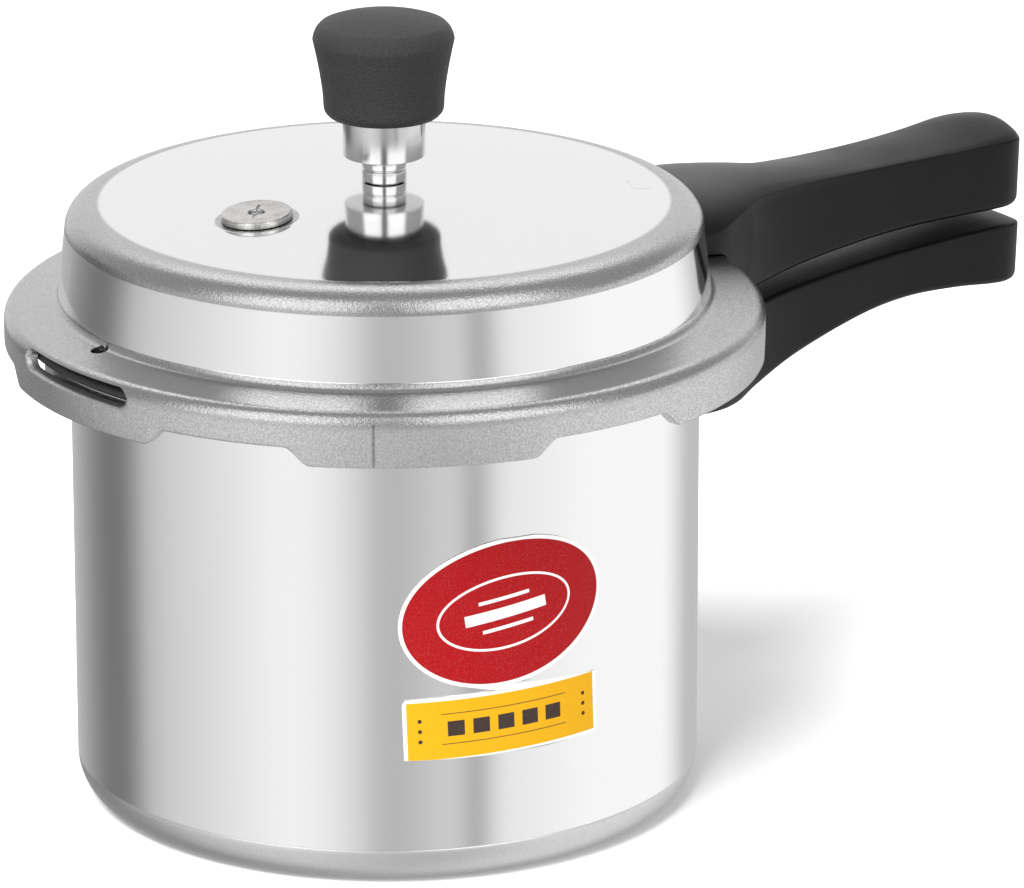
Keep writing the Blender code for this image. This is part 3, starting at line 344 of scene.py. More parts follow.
def castMetal(name, look):
    # grey cast or pressed metal with pits
    material, tree, place = startMaterial(name)
    grain = useEffect(tree, blastedGrain, place, grainSize=look["grainSize"], patchiness=0.3)
    skin = useEffect(tree, handledSkin, place, smudgeSize=0.004, markSize=0.002)
    shade = cappedSum(tree, times(tree, grain["mask"], 0.4), times(tree, skin["smudge"], 0.5))
    colour = blendColour(tree, shade, look["colour"], look["dark"])
    roughness = plus(tree, look["roughness"], times(tree, skin["smudge"], 0.12))
    return finishMaterial(material, colour, roughness, grain["height"], look["depth"], {"Metallic": 1.0})


plugSteel = castMetal("plugSteel", {
    "colour": (0.72, 0.71, 0.70, 1.0), "dark": (0.40, 0.39, 0.38, 1.0), "grainSize": 0.00045,
    "roughness": 0.24, "depth": 0.00012,
})
fusibleAlloy = castMetal("fusibleAlloy", {
    "colour": (0.42, 0.42, 0.44, 1.0), "dark": (0.14, 0.14, 0.15, 1.0), "grainSize": 0.0007,
    "roughness": 0.45, "depth": 0.0003,
})


def makeBakelite(name, look):
    # moulded black, with a painted highlight: paler on top near the lid, where light from above falls
    material, tree, place = startMaterial(name)
    skin = useEffect(tree, mouldedSkin, place, peelSize=look["peelSize"])
    used = useEffect(tree, handledSkin, place, smudgeSize=0.02, markSize=0.003)
    tint = cappedSum(tree, times(tree, skin["specks"], 0.35), times(tree, used["smudge"], 0.3))
    # painted highlight: the colour turns paler high up on the handles near the lid; the knob lies wholly inside
    # this mask, so there sheenShade is simply the knob's own colour
    near = fade(tree, place["x"], 0.110, 0.190, 1.0, 0.0)
    wearAndSheen = times(tree, near, fade(tree, place["z"], panRimTop + 0.014, panRimTop + 0.027))
    tone = blendColour(tree, tint, grey(look["shade"]), grey(look["shade"] * 2.4))
    colour = blendColour(tree, wearAndSheen, tone, grey(look["sheenShade"]))
    rubbed, marked = times(tree, used["smudge"], 0.07), times(tree, used["marks"], 0.05)
    roughness = plus(tree, look["roughness"], rubbed, marked)
    constants = {"Specular IOR Level": look["shine"]}
    return finishMaterial(material, colour, roughness, skin["height"], look["depth"], constants)


handleBakelite = makeBakelite("handleBakelite", {
    "shade": 0.0014, "sheenShade": 0.05, "roughness": 0.34, "shine": 0.23, "peelSize": 0.0011, "depth": 0.00006,
})
knobBakelite = makeBakelite("knobBakelite", {
    "shade": 0.019, "sheenShade": 0.024, "roughness": 0.44, "shine": 0.26, "peelSize": 0.00055, "depth": 0.0007,
})


def makeRubber():
    material, tree, place = startMaterial("gasketRubber")
    skin = useEffect(tree, mouldedSkin, place, peelSize=0.0006, speckSize=0.0002)
    lines = ringsOf(tree, place, 0.0006)
    colour = blendColour(tree, skin["specks"], grey(0.018), (0.045, 0.044, 0.042, 1.0))
    roughness = plus(tree, 0.5, times(tree, lines["mask"], 0.15))
    height = plus(tree, skin["height"], lines["height"])
    return finishMaterial(material, colour, roughness, height, 0.00008, {})


gasketRubber = makeRubber()
print("materials made")


def closeTree(tree, geometry, given, result):
    # makes every copy real and gives it its finish
    real = addNode(tree, "GeometryNodeRealizeInstances", {"Geometry": geometry}).outputs[0]
    finish = addNode(tree, "GeometryNodeSetMaterial", {"Geometry": real, "Material": given["finish"]})
    feed(tree, finish.outputs[0], result[0])
    return tree


def makeTurningTree():
    # sweeps a half section round the upright axis and swells it at the lugs and the lips
    inputs = {
        "section": "Geometry", "segments": 256, "lugCount": 6, "lugHalfAngle": 12.5, "lugSideAngle": 1.0,
        "lipHalfAngle": 13.5, "lipSideAngle": 1.0, "finish": "Material",
    }
    tree, given, result = newTree("turning", "GeometryNodeTree", inputs, {"piece": "Geometry"})

    def whole(operation, first, second):
        return addNode(tree, "FunctionNodeIntegerMath", {0: first, 1: second}, operation=operation).outputs[0]

    counted = addNode(tree, "GeometryNodeAttributeDomainSize", {0: given["section"]}, component="MESH")
    count = counted.outputs["Point Count"]
    sides = {"Vertices X": whole("ADD", given["segments"], 1), "Vertices Y": count}
    grid = addNode(tree, "GeometryNodeMeshGrid", sides)
    index = addNode(tree, "GeometryNodeInputIndex").outputs[0]
    along, ring = whole("MODULO", index, count), whole("DIVIDE_FLOOR", index, count)
    angle = calc(tree, "DIVIDE", times(tree, ring, math.tau), given["segments"])
    pitch = calc(tree, "DIVIDE", math.tau, given["lugCount"])
    halfPitch = times(tree, pitch, 0.5)
    wrapped = calc(tree, "FLOORED_MODULO", plus(tree, angle, halfPitch), pitch)
    away = calc(tree, "DEGREES", calc(tree, "ABSOLUTE", minus(tree, wrapped, halfPitch)))

    def sampled(value):
        fed = {"Geometry": given["section"], "Value": value, "Index": along}
        sample = addNode(tree, "GeometryNodeSampleIndex", fed, data_type="FLOAT_VECTOR", domain="POINT")
        return sample.outputs["Value"]

    def shifted(place, name, half, side):
        read = addNode(tree, "GeometryNodeInputNamedAttribute", {"Name": name}, data_type="FLOAT_VECTOR")
        share = fade(tree, away, half, plus(tree, half, side), 1.0, 0.0)
        fed = {0: sampled(read.outputs["Attribute"]), "Scale": share}
        shift = addNode(tree, "ShaderNodeVectorMath", fed, operation="SCALE").outputs[0]
        return addNode(tree, "ShaderNodeVectorMath", {0: place, 1: shift}, operation="ADD").outputs[0]

    place = sampled(addNode(tree, "GeometryNodeInputPosition").outputs[0])
    place = shifted(place, "lugShift", given["lugHalfAngle"], given["lugSideAngle"])
    place = shifted(place, "lipShift", given["lipHalfAngle"], given["lipSideAngle"])
    radius, _, level = splitXyz(tree, place)
    x, y = (times(tree, radius, calc(tree, wave, angle)) for wave in ("COSINE", "SINE"))
    fed = {"Geometry": grid.outputs["Mesh"], "Position": joinXyz(tree, x, y, level)}
    moved = addNode(tree, "GeometryNodeSetPosition", fed).outputs[0]
    fed = {"Geometry": moved, "Distance": 0.000001}
    merged = addNode(tree, "GeometryNodeMergeByDistance", fed).outputs[0]
    smooth = addNode(tree, "GeometryNodeSetShadeSmooth", {"Geometry": merged}).outputs[0]
    return closeTree(tree, smooth, given, result)


turningTree = makeTurningTree()


def keepShape(piece):
    # keeps what the modifiers make as a plain mesh and takes them off
    made = bpy.data.meshes.new_from_object(piece.evaluated_get(bpy.context.evaluated_depsgraph_get()))
    piece.modifiers.clear()
    piece.data = made
    return made


def runTree(piece, tree, values):
    modifier = piece.modifiers.new(tree.name, "NODES")
    modifier.node_group = tree
    keys = {item.name: item.identifier for item in tree.interface.items_tree if item.in_out == "INPUT"}
    for label, value in values.items():
        modifier[keys[label]] = value
    made = keepShape(piece)
    made.name = piece.name
    made.polygons.foreach_set("material_index", [0] * len(made.polygons))
    made.materials.clear()
    made.materials.append(values["finish"])


def meshOf(shape, name):
    mesh = bpy.data.meshes.new(name)
    shape.to_mesh(mesh)
    shape.free()
    return mesh


def newPiece(name, mesh):
    piece = bpy.data.objects.new(name, mesh)
    bpy.context.scene.collection.objects.link(piece)
    return piece


def sharpen(mesh, degrees):
    mesh.set_sharp_from_angle(angle=math.radians(degrees))


def turnedPiece(name, section, finish, segments=256, sharp=40.0, **lugs):
    # section is a list of (radius, height) with, where a lug changes it, its lug and lip shifts
    mesh = bpy.data.meshes.new(name)
    edges = [(n, n + 1) for n in range(len(section) - 1)]
    mesh.from_pydata([(row[0], 0.0, row[1]) for row in section], edges, [])
    for label, column in (("lugShift", 2), ("lipShift", 3)):
        shift = mesh.attributes.new(label, "FLOAT_VECTOR", "POINT")
        for place, row in enumerate(section):
            across, up = row[column] if len(row) > column else (0.0, 0.0)
            shift.data[place].vector = (across, 0.0, up)
    piece = newPiece(name, mesh)
    runTree(piece, turningTree, {"segments": segments, "finish": finish, **lugs})
    shape = bmesh.new()
    shape.from_mesh(piece.data)
    if shape.calc_volume(signed=True) < 0:  # the section ran the other way round
        bmesh.ops.reverse_faces(shape, faces=shape.faces)
    shape.to_mesh(piece.data)
    shape.free()
    sharpen(piece.data, sharp)
    return piece


def arcOf(centre, radii, start, end, steps):
    angles = [math.radians(start + (end - start) * step / steps) for step in range(steps + 1)]
    return [(centre[0] + radii[0] * math.cos(a), centre[1] + radii[1] * math.sin(a)) for a in angles]


def rounded(corners, size, steps=4):
    # a polyline with every inner corner rounded
    line = [corners[0]]
    for before, corner, after in zip(corners, corners[1:], corners[2:]):
        here = Vector(corner)
        back, ahead = Vector(before) - here, Vector(after) - here
        reach = min(size, back.length * 0.45, ahead.length * 0.45)
        start, end = here + back.normalized() * reach, here + ahead.normalized() * reach
        for step in range(steps + 1):
            share = step / steps
            line.append(tuple(start * (1 - share) ** 2 + here * 2 * share * (1 - share) + end * share**2))
    return line + [corners[-1]]


def onRing(radius, angle, z):
    return (radius * math.cos(angle), radius * math.sin(angle), z)


def skinRows(shape, rings):
    # faces between each ring of points and the next
    for first, second in zip(rings, rings[1:]):
        for n in range(len(first)):
            nxt = (n + 1) % len(first)
            shape.faces.new((first[n], first[nxt], second[nxt], second[n]))


def shapeFrom(name, rings):
    # skins rings of equal length into a closed body
    shape = bmesh.new()
    rows = [[shape.verts.new(point) for point in ring] for ring in rings]
    skinRows(shape, rows)
    shape.faces.new(list(reversed(rows[0])))
    shape.faces.new(rows[-1])
    bmesh.ops.recalc_face_normals(shape, faces=shape.faces)
    return meshOf(shape, name)


def spunMesh(name, section, segments):
    # a turned body for cutting with, from a closed section
    shape = bmesh.new()
    angles = [math.tau * step / segments for step in range(segments)]
    rows = [[shape.verts.new(onRing(r, angle, z)) for r, z in section] for angle in angles]
    skinRows(shape, rows + rows[:1])
    bmesh.ops.remove_doubles(shape, verts=shape.verts, dist=0.000001)
    bmesh.ops.recalc_face_normals(shape, faces=shape.faces)
    return meshOf(shape, name)


def rodMesh(radius, low, high, segments=32):
    angles = [math.tau * n / segments for n in range(segments)]
    return shapeFrom("rod", [[onRing(radius, angle, z) for angle in angles] for z in (low, high)])


def placed(mesh, matrix):
    mesh.transform(matrix)
    return mesh


def aboutAxis(degrees):
    return Matrix.Rotation(math.radians(degrees), 4, "Z")


def cutWith(piece, meshes, sharp=30.0):
    # takes the given bodies out of a piece in one cut
    joined = bmesh.new()
    for mesh in meshes:
        joined.from_mesh(mesh)
    cutter = newPiece(piece.name + "Cutter", meshOf(joined, piece.name + "Cutter"))
    cutter.data.materials.append(piece.data.materials[0])
    boolean = piece.modifiers.new("cut", "BOOLEAN")
    boolean.operation = "DIFFERENCE"
    boolean.solver = "EXACT"
    boolean.object = cutter
    made = keepShape(piece)
    bpy.data.objects.remove(cutter)
    made.shade_smooth()
    sharpen(made, sharp)


def finishPiece(piece, body, slot, *stands):
    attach(piece, body)
    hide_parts(*stands)


# pan

panSizes = {
    "radius": 0.0890, "cornerWidth": 0.0090, "cornerHeight": 0.0106, "rimThickness": 0.0040,
    "rimWidth": 0.0075, "edge": 0.0004, "lugReach": 0.0060, "lugHalfAngle": 12.5, "lugSideAngle": 0.9,
    "grooveDepth": 0.00018, "grooveHalf": 0.00022,
    "rivetAngle": 6.2, "rivetHigh": -0.0210, "rivetLow": -0.0332, "rivetHole": 0.0025,
}


def makePan():
    s = panSizes
    radius, rimFoot, collar = s["radius"], panRimTop - s["rimThickness"], s["radius"] + s["rimWidth"]
    corner = (s["cornerWidth"], s["cornerHeight"])
    lug = (s["lugReach"], 0.0)
    inner, edge, fillet = radius - sheet, s["edge"], 2 * s["edge"]
    innerCorner = (corner[0] - sheet / 2, corner[1] - sheet)
    floor = inner - innerCorner[0]
    section = [(floor * share, sheet) for share in (0.0, 0.25, 0.5, 0.75)]
    section += arcOf((floor, corner[1]), innerCorner, -90.0, 0.0, 14)
    section += [(inner, corner[1] + (panRimTop - corner[1]) * share) for share in (0.3, 0.6, 0.9)]
    section += arcOf((inner + edge, panRimTop - edge), (edge, edge), 180.0, 90.0, 4)
    rim = arcOf((collar - edge, panRimTop - edge), (edge, edge), 90.0, 0.0, 4)
    rim += arcOf((collar - edge, rimFoot + edge), (edge, edge), 0.0, -90.0, 4)
    section += [(*point, lug) for point in rim]
    section += arcOf((radius + fillet, rimFoot - fillet), (fillet, fillet), 90.0, 180.0, 4)
    top, foot = rimFoot - 0.0012, corner[1] + s["grooveHalf"]
    section += [(radius, foot + (top - foot) * share) for share in (1.0, 0.8, 0.6, 0.4, 0.2, 0.0)]
    section += [(radius - s["grooveDepth"], corner[1])]
    section += arcOf((radius - corner[0], corner[1]), corner, -2.5, -90.0, 18)
    section += [((radius - corner[0]) * share, 0.0) for share in (0.9, 0.6, 0.3, 0.0)]
    lugs = {name: s[name] for name in ("lugHalfAngle", "lugSideAngle")}
    pan = turnedPiece("panShell", section, panAluminium, 720, 35.0, **lugs)
    cutWith(pan, rivetHoles(panRivetSpots(), s["rivetHole"]), 35.0)
    finishPiece(pan, "pan", "pan_aluminium", "pan")


def rivetPlace(radius, height, angle, lean):
    # a frame on a round wall with z square to it
    out = Matrix.Translation((radius, 0.0, height)) @ Matrix.Rotation(math.radians(90.0) - lean, 4, "Y")
    return aboutAxis(angle) @ out


def rivetHoles(spots, radius):
    return [placed(rodMesh(radius, -0.006, 0.003), spot) for spot in spots]


def panRivetSpots():
    s = panSizes
    spots = ((-s["rivetAngle"], s["rivetHigh"]), (s["rivetAngle"], s["rivetHigh"]), (0.0, s["rivetLow"]))
    return [rivetPlace(s["radius"], panRimTop + rise, angle, 0.0) for angle, rise in spots]


# lid

lidSizes = {
    "wallTop": 0.0900, "wallFoot": 0.0924, "wallHeight": 0.0207, "fillet": 0.0025, "shoulderWidth": 0.0090,
    "shoulderHeight": 0.0067, "crownDrop": 0.0058, "crownPower": 2.0, "flangeDrop": 0.0014, "bead": 0.0040,
    "skirtShallowRise": 0.0050, "lipInset": 0.0095, "lipThickness": 0.0045, "skirtHalfAngle": 16.5,
    "skirtSideAngle": 4.0, "lipHalfAngle": 13.5, "lipSideAngle": 1.0,
    "slotHalfAngle": 13.0, "slotFoot": 0.0007, "slotHeight": 0.0056, "slotAngle": 180.0, "slotFlare": 0.0007,
    # the slot's rings, inside to outside: radius and how far its mouth opens out there
    "slotRings": ((0.1005, 0.0), (0.1060, 0.0), (0.1067, 0.15), (0.1072, 0.5), (0.1077, 1.2), (0.1090, 3.0)),
    "peepRadius": 0.0025, "peepInset": 0.0128, "peepAngle": 178.4,
    "plugDistance": 0.0472, "plugAngle": 186.1, "plugHole": 0.0060, "ventHole": 0.0053,
    "indexAngle": -127.3, "indexHalfWidth": 0.0003, "indexDepth": 0.0006,
    "markDistance": 0.0720, "markAngle": -29.0, "markSize": 0.0042, "markLine": 0.00022, "markDepth": 0.00022,
    "rivetAngle": 6.2, "rivetRise": 0.0139, "rivetHole": 0.0025,
}
flangeTop = gasketTop + gap + sheet
wallTop = flangeTop + lidSizes["wallHeight"]
crownRadius = lidSizes["wallTop"] - lidSizes["shoulderWidth"]
skirtInner = skirtOuter - sheet
beadCentre = (skirtOuter - lidSizes["bead"], flangeTop - lidSizes["flangeDrop"] - lidSizes["bead"])


def wallRadius(height):
    share = (height - flangeTop) / lidSizes["wallHeight"]
    return lidSizes["wallFoot"] + (lidSizes["wallTop"] - lidSizes["wallFoot"]) * share


def crownHeight(radius):
    return lidTop - lidSizes["crownDrop"] * (radius / crownRadius) ** lidSizes["crownPower"]


def lidRivetSpots():
    s = lidSizes
    height = panRimTop + s["rivetRise"]
    lean = math.atan((s["wallFoot"] - s["wallTop"]) / s["wallHeight"])
    angles = (-s["rivetAngle"], s["rivetAngle"])
    return [rivetPlace(wallRadius(height), height, angle, lean) for angle in angles]


def lidOutside(extra, steps):
    # the lid's outer line from the wall's foot to the bead, moved out by extra
    fillet = lidSizes["fillet"]
    centre = (wallRadius(flangeTop + fillet) + fillet, flangeTop + fillet)
    bead = lidSizes["bead"] + extra
    return [
        *arcOf(centre, (fillet - extra, fillet - extra), 180.0, 270.0, steps),
        *arcOf(beadCentre, (bead, bead), 90.0, 0.0, steps + 4),
    ]


def slotMesh():
    # the gasket's slot with rounded ends, opened out at the bead's skin
    s = lidSizes
    half = s["slotHeight"] / 2
    middle = panRimTop - s["slotFoot"] + half
    endAngle = math.degrees(half / skirtOuter)
    straight = s["slotHalfAngle"] - endAngle
    columns = [straight * (n / 12) for n in range(-12, 13)]
    turns = [math.radians(a) for a in range(9, 88, 6)]
    ends = [(straight + endAngle * math.sin(turn), math.cos(turn)) for turn in turns]
    columns = [(-side, tall) for side, tall in reversed(ends)] + [(side, 1.0) for side in columns] + ends
    rings = []
    for side, tall in columns:
        ring = []
        for radius, flare in s["slotRings"]:
            reach = half * tall + flare * s["slotFlare"] * max(tall, 0.35)
            spread = 1.0 + flare * s["slotFlare"] / half * abs(side) / straight * 0.2
            angle = math.radians(s["slotAngle"] + side * spread)
            ring.append(onRing(radius, angle, reach))
        upper = [(x, y, middle + z) for x, y, z in reversed(ring)]
        rings.append([(x, y, middle - z) for x, y, z in ring] + upper)
    return shapeFrom("slot", rings)


def plugPlace():
    s = lidSizes
    power = s["crownPower"]
    slope = s["crownDrop"] * power * (s["plugDistance"] / crownRadius) ** (power - 1) / crownRadius
    outward = Matrix.Translation((s["plugDistance"], 0.0, crownHeight(s["plugDistance"])))
    return aboutAxis(s["plugAngle"]) @ outward @ Matrix.Rotation(math.atan(slope), 4, "Y")


def markMeshes():
    # three thin bars that press a plain triangle into the crown
    s = lidSizes
    centre = aboutAxis(s["markAngle"]) @ Vector((s["markDistance"], 0.0, 0.0))
    corners = []
    for turn, reach in ((0.0, 1.25), (130.0, 0.95), (230.0, 0.95)):
        angle = math.radians(turn + s["markAngle"] + 118.0)
        corners.append(centre + Vector((math.cos(angle), math.sin(angle), 0.0)) * s["markSize"] * reach)
    bars = []
    for first, second in zip(corners, corners[1:] + corners[:1]):
        along = (second - first).normalized()
        side = Vector((-along.y, along.x, 0.0)) * s["markLine"]
        first, second = first + along * s["markLine"] * 1.6, second - along * s["markLine"] * 1.6
        rings = []
        for spot in (first, second):
            surface = crownHeight(math.hypot(spot.x, spot.y))
            low, high = surface - s["markDepth"], surface + 0.002
            bounds = ((-0.3, low), (0.3, low), (3.0, high), (-3.0, high))
            rings.append([(spot.x + side.x * share, spot.y + side.y * share, z) for share, z in bounds])
        bars.append(shapeFrom("bar", rings))
    return bars


def indexMesh():
    # a thin upright scribed line on the skirt
    s = lidSizes
    rings = []
    for z in (skirtFoot - 0.002, beadCentre[1] + 0.0010):
        rings.append([
            (skirtOuter - s["indexDepth"], 0.0, z), (skirtOuter + 0.0010, -s["indexHalfWidth"] * 4, z),
            (skirtOuter + 0.0010, s["indexHalfWidth"] * 4, z),
        ])
    return placed(shapeFrom("index", rings), aboutAxis(s["indexAngle"]))


def makeLid():
    s = lidSizes
    lipInner = skirtInner - gap
    lip = (skirtOuter - s["lipInset"] - lipInner, 0.0)
    drop = (0.0, -s["skirtShallowRise"])
    shallow = skirtFoot + s["skirtShallowRise"]
    flangeInner = flangeTop - sheet
    innerFoot = s["wallFoot"] - sheet
    edge = 0.0008
    crownRadii = [crownRadius * n / 24 for n in range(24)]
    section = [(radius, crownHeight(radius)) for radius in crownRadii]
    section += arcOf((crownRadius, wallTop), (s["shoulderWidth"], s["shoulderHeight"]), 90.0, 0.0, 18)
    heights = [wallTop - s["wallHeight"] * share for share in (0.3, 0.6, 0.85)]
    section += [(wallRadius(height), height) for height in heights]
    section += lidOutside(0.0, 9)
    section += [(skirtOuter, beadCentre[1] - (beadCentre[1] - shallow) * share) for share in (0.35, 0.7)]
    foot = arcOf((skirtOuter - edge, shallow + edge), (edge, edge), 0.0, -90.0, 5)
    section += [(*point, drop) for point in foot]
    section += [
        (lipInner, shallow, drop, lip), (lipInner, shallow + s["lipThickness"] - gap, drop, lip),
        (skirtInner, shallow + s["lipThickness"], drop),
        (skirtInner, flangeInner - s["flangeDrop"] - edge),
        (skirtInner - edge, flangeInner - s["flangeDrop"]),
        (innerFoot + s["fillet"], flangeInner),
        (innerFoot + s["fillet"] * 0.3, flangeInner + s["fillet"] * 0.3),
        (innerFoot, flangeInner + s["fillet"]),
    ]
    innerShoulder = (s["shoulderWidth"] - sheet, s["shoulderHeight"] - sheet)
    section += arcOf((crownRadius, wallTop), innerShoulder, 0.0, 90.0, 10)
    section += [(radius, crownHeight(radius) - sheet) for radius in reversed(crownRadii)]
    lid = turnedPiece(
        "lidShell", section, lidAluminium, 720, 40.0, lugHalfAngle=s["skirtHalfAngle"],
        lugSideAngle=s["skirtSideAngle"], lipHalfAngle=s["lipHalfAngle"], lipSideAngle=s["lipSideAngle"],
    )
    peepAt = aboutAxis(s["peepAngle"]) @ Matrix.Translation((skirtOuter - s["peepInset"], 0.0, 0.0))
    holes = [
        slotMesh(), indexMesh(), *markMeshes(),
        placed(rodMesh(s["peepRadius"], flangeTop - 2 * sheet, flangeTop + sheet, 48), peepAt),
        rodMesh(s["ventHole"], lidTop - 2 * sheet, lidTop + sheet, 48),
        placed(rodMesh(s["plugHole"], -2 * sheet, sheet, 48), plugPlace()),
    ]
    cutWith(lid, holes + rivetHoles(lidRivetSpots(), s["rivetHole"]), 40.0)
    finishPiece(lid, "lid", "lid_aluminium", "lid")


panAluminium = zonedAluminium("panAluminium", panLook, panPolish)
lidAluminium = zonedAluminium("lidAluminium", lidLook, lidPolish)
makePan()
makeLid()
print("pan and lid made")


# gasket

def makeGasket():
    low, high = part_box("gasket")
    inner, outer = 0.0885, high.x
    drop = lidSizes["flangeDrop"]
    slopeStart = lidSizes["wallFoot"] - sheet + lidSizes["fillet"]
    middle = ((inner + outer) / 2, low.z)
    corners = [
        middle, (outer, low.z), (outer, high.z - drop - 0.0008), (outer - 0.0008, high.z - drop),
        (slopeStart, high.z), (inner, high.z), (inner, low.z), middle,
    ]
    gasket = turnedPiece("gasketRing", rounded(corners, 0.0006), gasketRubber, 240)
    finishPiece(gasket, "lid", "gasket_rubber", "gasket")


makeGasket()


# vent pipe, weight and knob

weightSizes = {
    "collarRadius": 0.00635, "collarHeight": 0.0067, "shank": 0.0050, "shankLength": 0.0145, "nozzle": 0.0032,
    "nozzleHeight": 0.0148, "bore": 0.0012, "weightRadius": 0.0116, "weightHeight": 0.0113, "stud": 0.0075,
    "boreWidth": 0.0042, "studHeight": 0.0155, "boreDepth": 0.0187,
    "knobHeight": 0.0294, "knobFoot": 0.0155, "knobWaist": 0.0170, "knobTop": 0.0199, "footHeight": 0.0016,
    "waistHeight": 0.0041, "bulgeHeight": 0.0220, "flarePower": 1.4, "discRadius": 0.0176,
    "discDrop": 0.0030, "discPower": 2.2,
}


def makeVentPipe():
    s = weightSizes
    foot = lidTop + gap
    top = foot + s["collarHeight"]
    middle, groove = foot + s["collarHeight"] / 2, 0.00045
    corners = [
        (s["bore"], foot - s["shankLength"]), (s["shank"], foot - s["shankLength"]), (s["shank"], foot),
        (s["collarRadius"], foot), (s["collarRadius"], middle - groove), (s["collarRadius"] - groove, middle),
        (s["collarRadius"], middle + groove), (s["collarRadius"], top), (s["nozzle"], top),
        (s["nozzle"], top + s["nozzleHeight"] - s["nozzle"] / 3),
        (s["nozzle"] * 0.66, top + s["nozzleHeight"]), (s["bore"], top + s["nozzleHeight"]),
        (s["bore"], foot - s["shankLength"]),
    ]
    pipe = turnedPiece("ventPipe", rounded(corners, 0.00022, 3), chrome, 128, 30.0)
    finishPiece(pipe, "lid", "chrome", "vent_pipe")


def makeWeightBody():
    s = weightSizes
    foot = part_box("weight_body")[0].z
    top = foot + s["weightHeight"]
    corners = [
        (0.0, top + s["studHeight"]), (s["stud"], top + s["studHeight"]), (s["stud"], top),
        (s["weightRadius"], top), (s["weightRadius"], foot), (s["boreWidth"], foot),
        (s["boreWidth"], foot + s["boreDepth"]), (0.0, foot + s["boreDepth"]),
    ]
    body = turnedPiece("weightBody", rounded(corners, 0.0004, 4), chrome, 160, 30.0)
    finishPiece(body, "weight", "chrome", "weight_body", "weight_needle")


def makeKnob():
    s = weightSizes
    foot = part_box("weight_knob")[0].z
    pocket = s["stud"] + gap
    stud = foot + s["studHeight"]
    rim, rimDrop, top, bulge = s["discRadius"], s["discDrop"], foot + s["knobHeight"], foot + s["bulgeHeight"]
    section = [(rim * n / 16, top - rimDrop * (n / 16) ** s["discPower"]) for n in range(16)]
    section += rounded([
        section[-1], (rim, top - rimDrop), (s["knobTop"] - 0.0009, bulge + 0.0029),
        (s["knobTop"] - 0.0002, bulge + 0.0012), (s["knobTop"], bulge + 0.0001),
    ], 0.0007, 4)[1:]
    rise = s["bulgeHeight"] - s["waistHeight"]
    for step in range(24, -1, -1):
        share = step / 24
        radius = s["knobWaist"] + (s["knobTop"] - s["knobWaist"]) * share ** s["flarePower"]
        section.append((radius, foot + s["waistHeight"] + rise * share))
    section += rounded([
        (s["knobWaist"], foot + s["waistHeight"] * 0.8), (s["knobWaist"] - 0.0002, foot + s["footHeight"]),
        (s["knobFoot"], foot), (pocket, foot), (pocket, stud), (0.0, stud),
    ], 0.0007, 4)
    knob = turnedPiece("weightKnob", section, knobBakelite, 160, 30.0)
    finishPiece(knob, "weight", "bakelite", "weight_knob")


makeVentPipe()
makeWeightBody()
makeKnob()


# safety plug

def makePlug():
    radius, height, bore, shank, foot = 0.0100, 0.0019, 0.0022, 0.0057, 0.00012
    shankFoot, top = foot - 0.0120, foot + height
    corners = [
        (bore, shankFoot), (shank, shankFoot), (shank, foot), (radius, foot), (radius, foot + height * 0.72),
        (radius - 0.0004, top), (bore + 0.0007, top), (bore, top - 0.0004), (bore, shankFoot),
    ]
    body = turnedPiece("safetyPlugBody", rounded(corners, 0.0002, 3), plugSteel, 128, 30.0)
    low, high = top - 0.0006, foot + height * 2
    slot = ((-0.00045, low), (0.00045, low), (0.00065, high), (-0.00065, high))
    bar = [[(x, y, z) for y, z in slot] for x in (-0.0056, 0.0056)]
    cutWith(body, [placed(shapeFrom("plugSlot", bar), Matrix.Rotation(0.7, 4, "Z"))])
    body.data.transform(plugPlace())
    finishPiece(body, "lid", "plug_steel", "safety_plug_body")
    core = [(0.0, top - 0.0004), (bore - 0.0007, top - 0.0005), (bore - 0.0001, top - 0.0009)]
    core += [(bore - 0.0001, shankFoot), (0.0, shankFoot)]
    fuse = turnedPiece("safetyPlugCore", core, fusibleAlloy, 64)
    fuse.data.transform(plugPlace())
    finishPiece(fuse, "lid", "fusible_alloy", "safety_plug_core")


makePlug()
print("gasket, vent, weight and plug made")


# handles: sections lofted along the handles' line, the root cut to the lid and the pan

handleSizes = {
    "edge": 0.0024, "crease": 0.0009, "sideSlope": 0.0007, "reach": cadHigh.x, "lidRoom": 0.0004,
    "panRoom": 0.0024, "sweepRoom": 0.0007, "lidScrews": (0.0330, 0.0530), "panScrews": (0.0270,),
    "wellRadius": 0.0044,
    # distance, half width, lid foot, lid side top, lid crown, pan foot, pan top
    "root": (
        (-0.0010, 0.0240, -0.0094, 0.0118, 0.0282, -0.0418, -0.0158),
        (0.0130, 0.0240, -0.0094, 0.0142, 0.0272, -0.0420, -0.0154),
        (0.0240, 0.0200, -0.0096, 0.0166, 0.0259, -0.0423, -0.0148),
        (0.0350, 0.0155, -0.0096, 0.0182, 0.0242, -0.0398, -0.0141),
        (0.0520, 0.0130, -0.0071, 0.0183, 0.0211, -0.0339, -0.0124),
    ),
    "grip": (
        (0.0604, 0.0128, -0.0042, 0.0182, 0.0192, -0.0270, -0.0101),
        (0.0429, 0.0135, -0.0028, 0.0183, 0.0195, -0.0242, -0.0087),
        (0.0259, 0.0152, -0.0021, 0.0187, 0.0208, -0.0240, -0.0074),
        (0.0120, 0.0167, -0.0018, 0.0193, 0.0230, -0.0249, -0.0064),
        (0.0056, 0.0160, -0.0016, 0.0194, 0.0232, -0.0250, -0.0063),
        (0.0018, 0.0131, -0.0010, 0.0191, 0.0226, -0.0246, -0.0068),
        (0.0000, 0.0086, 0.0000, 0.0183, 0.0211, -0.0236, -0.0078),
    ),
}


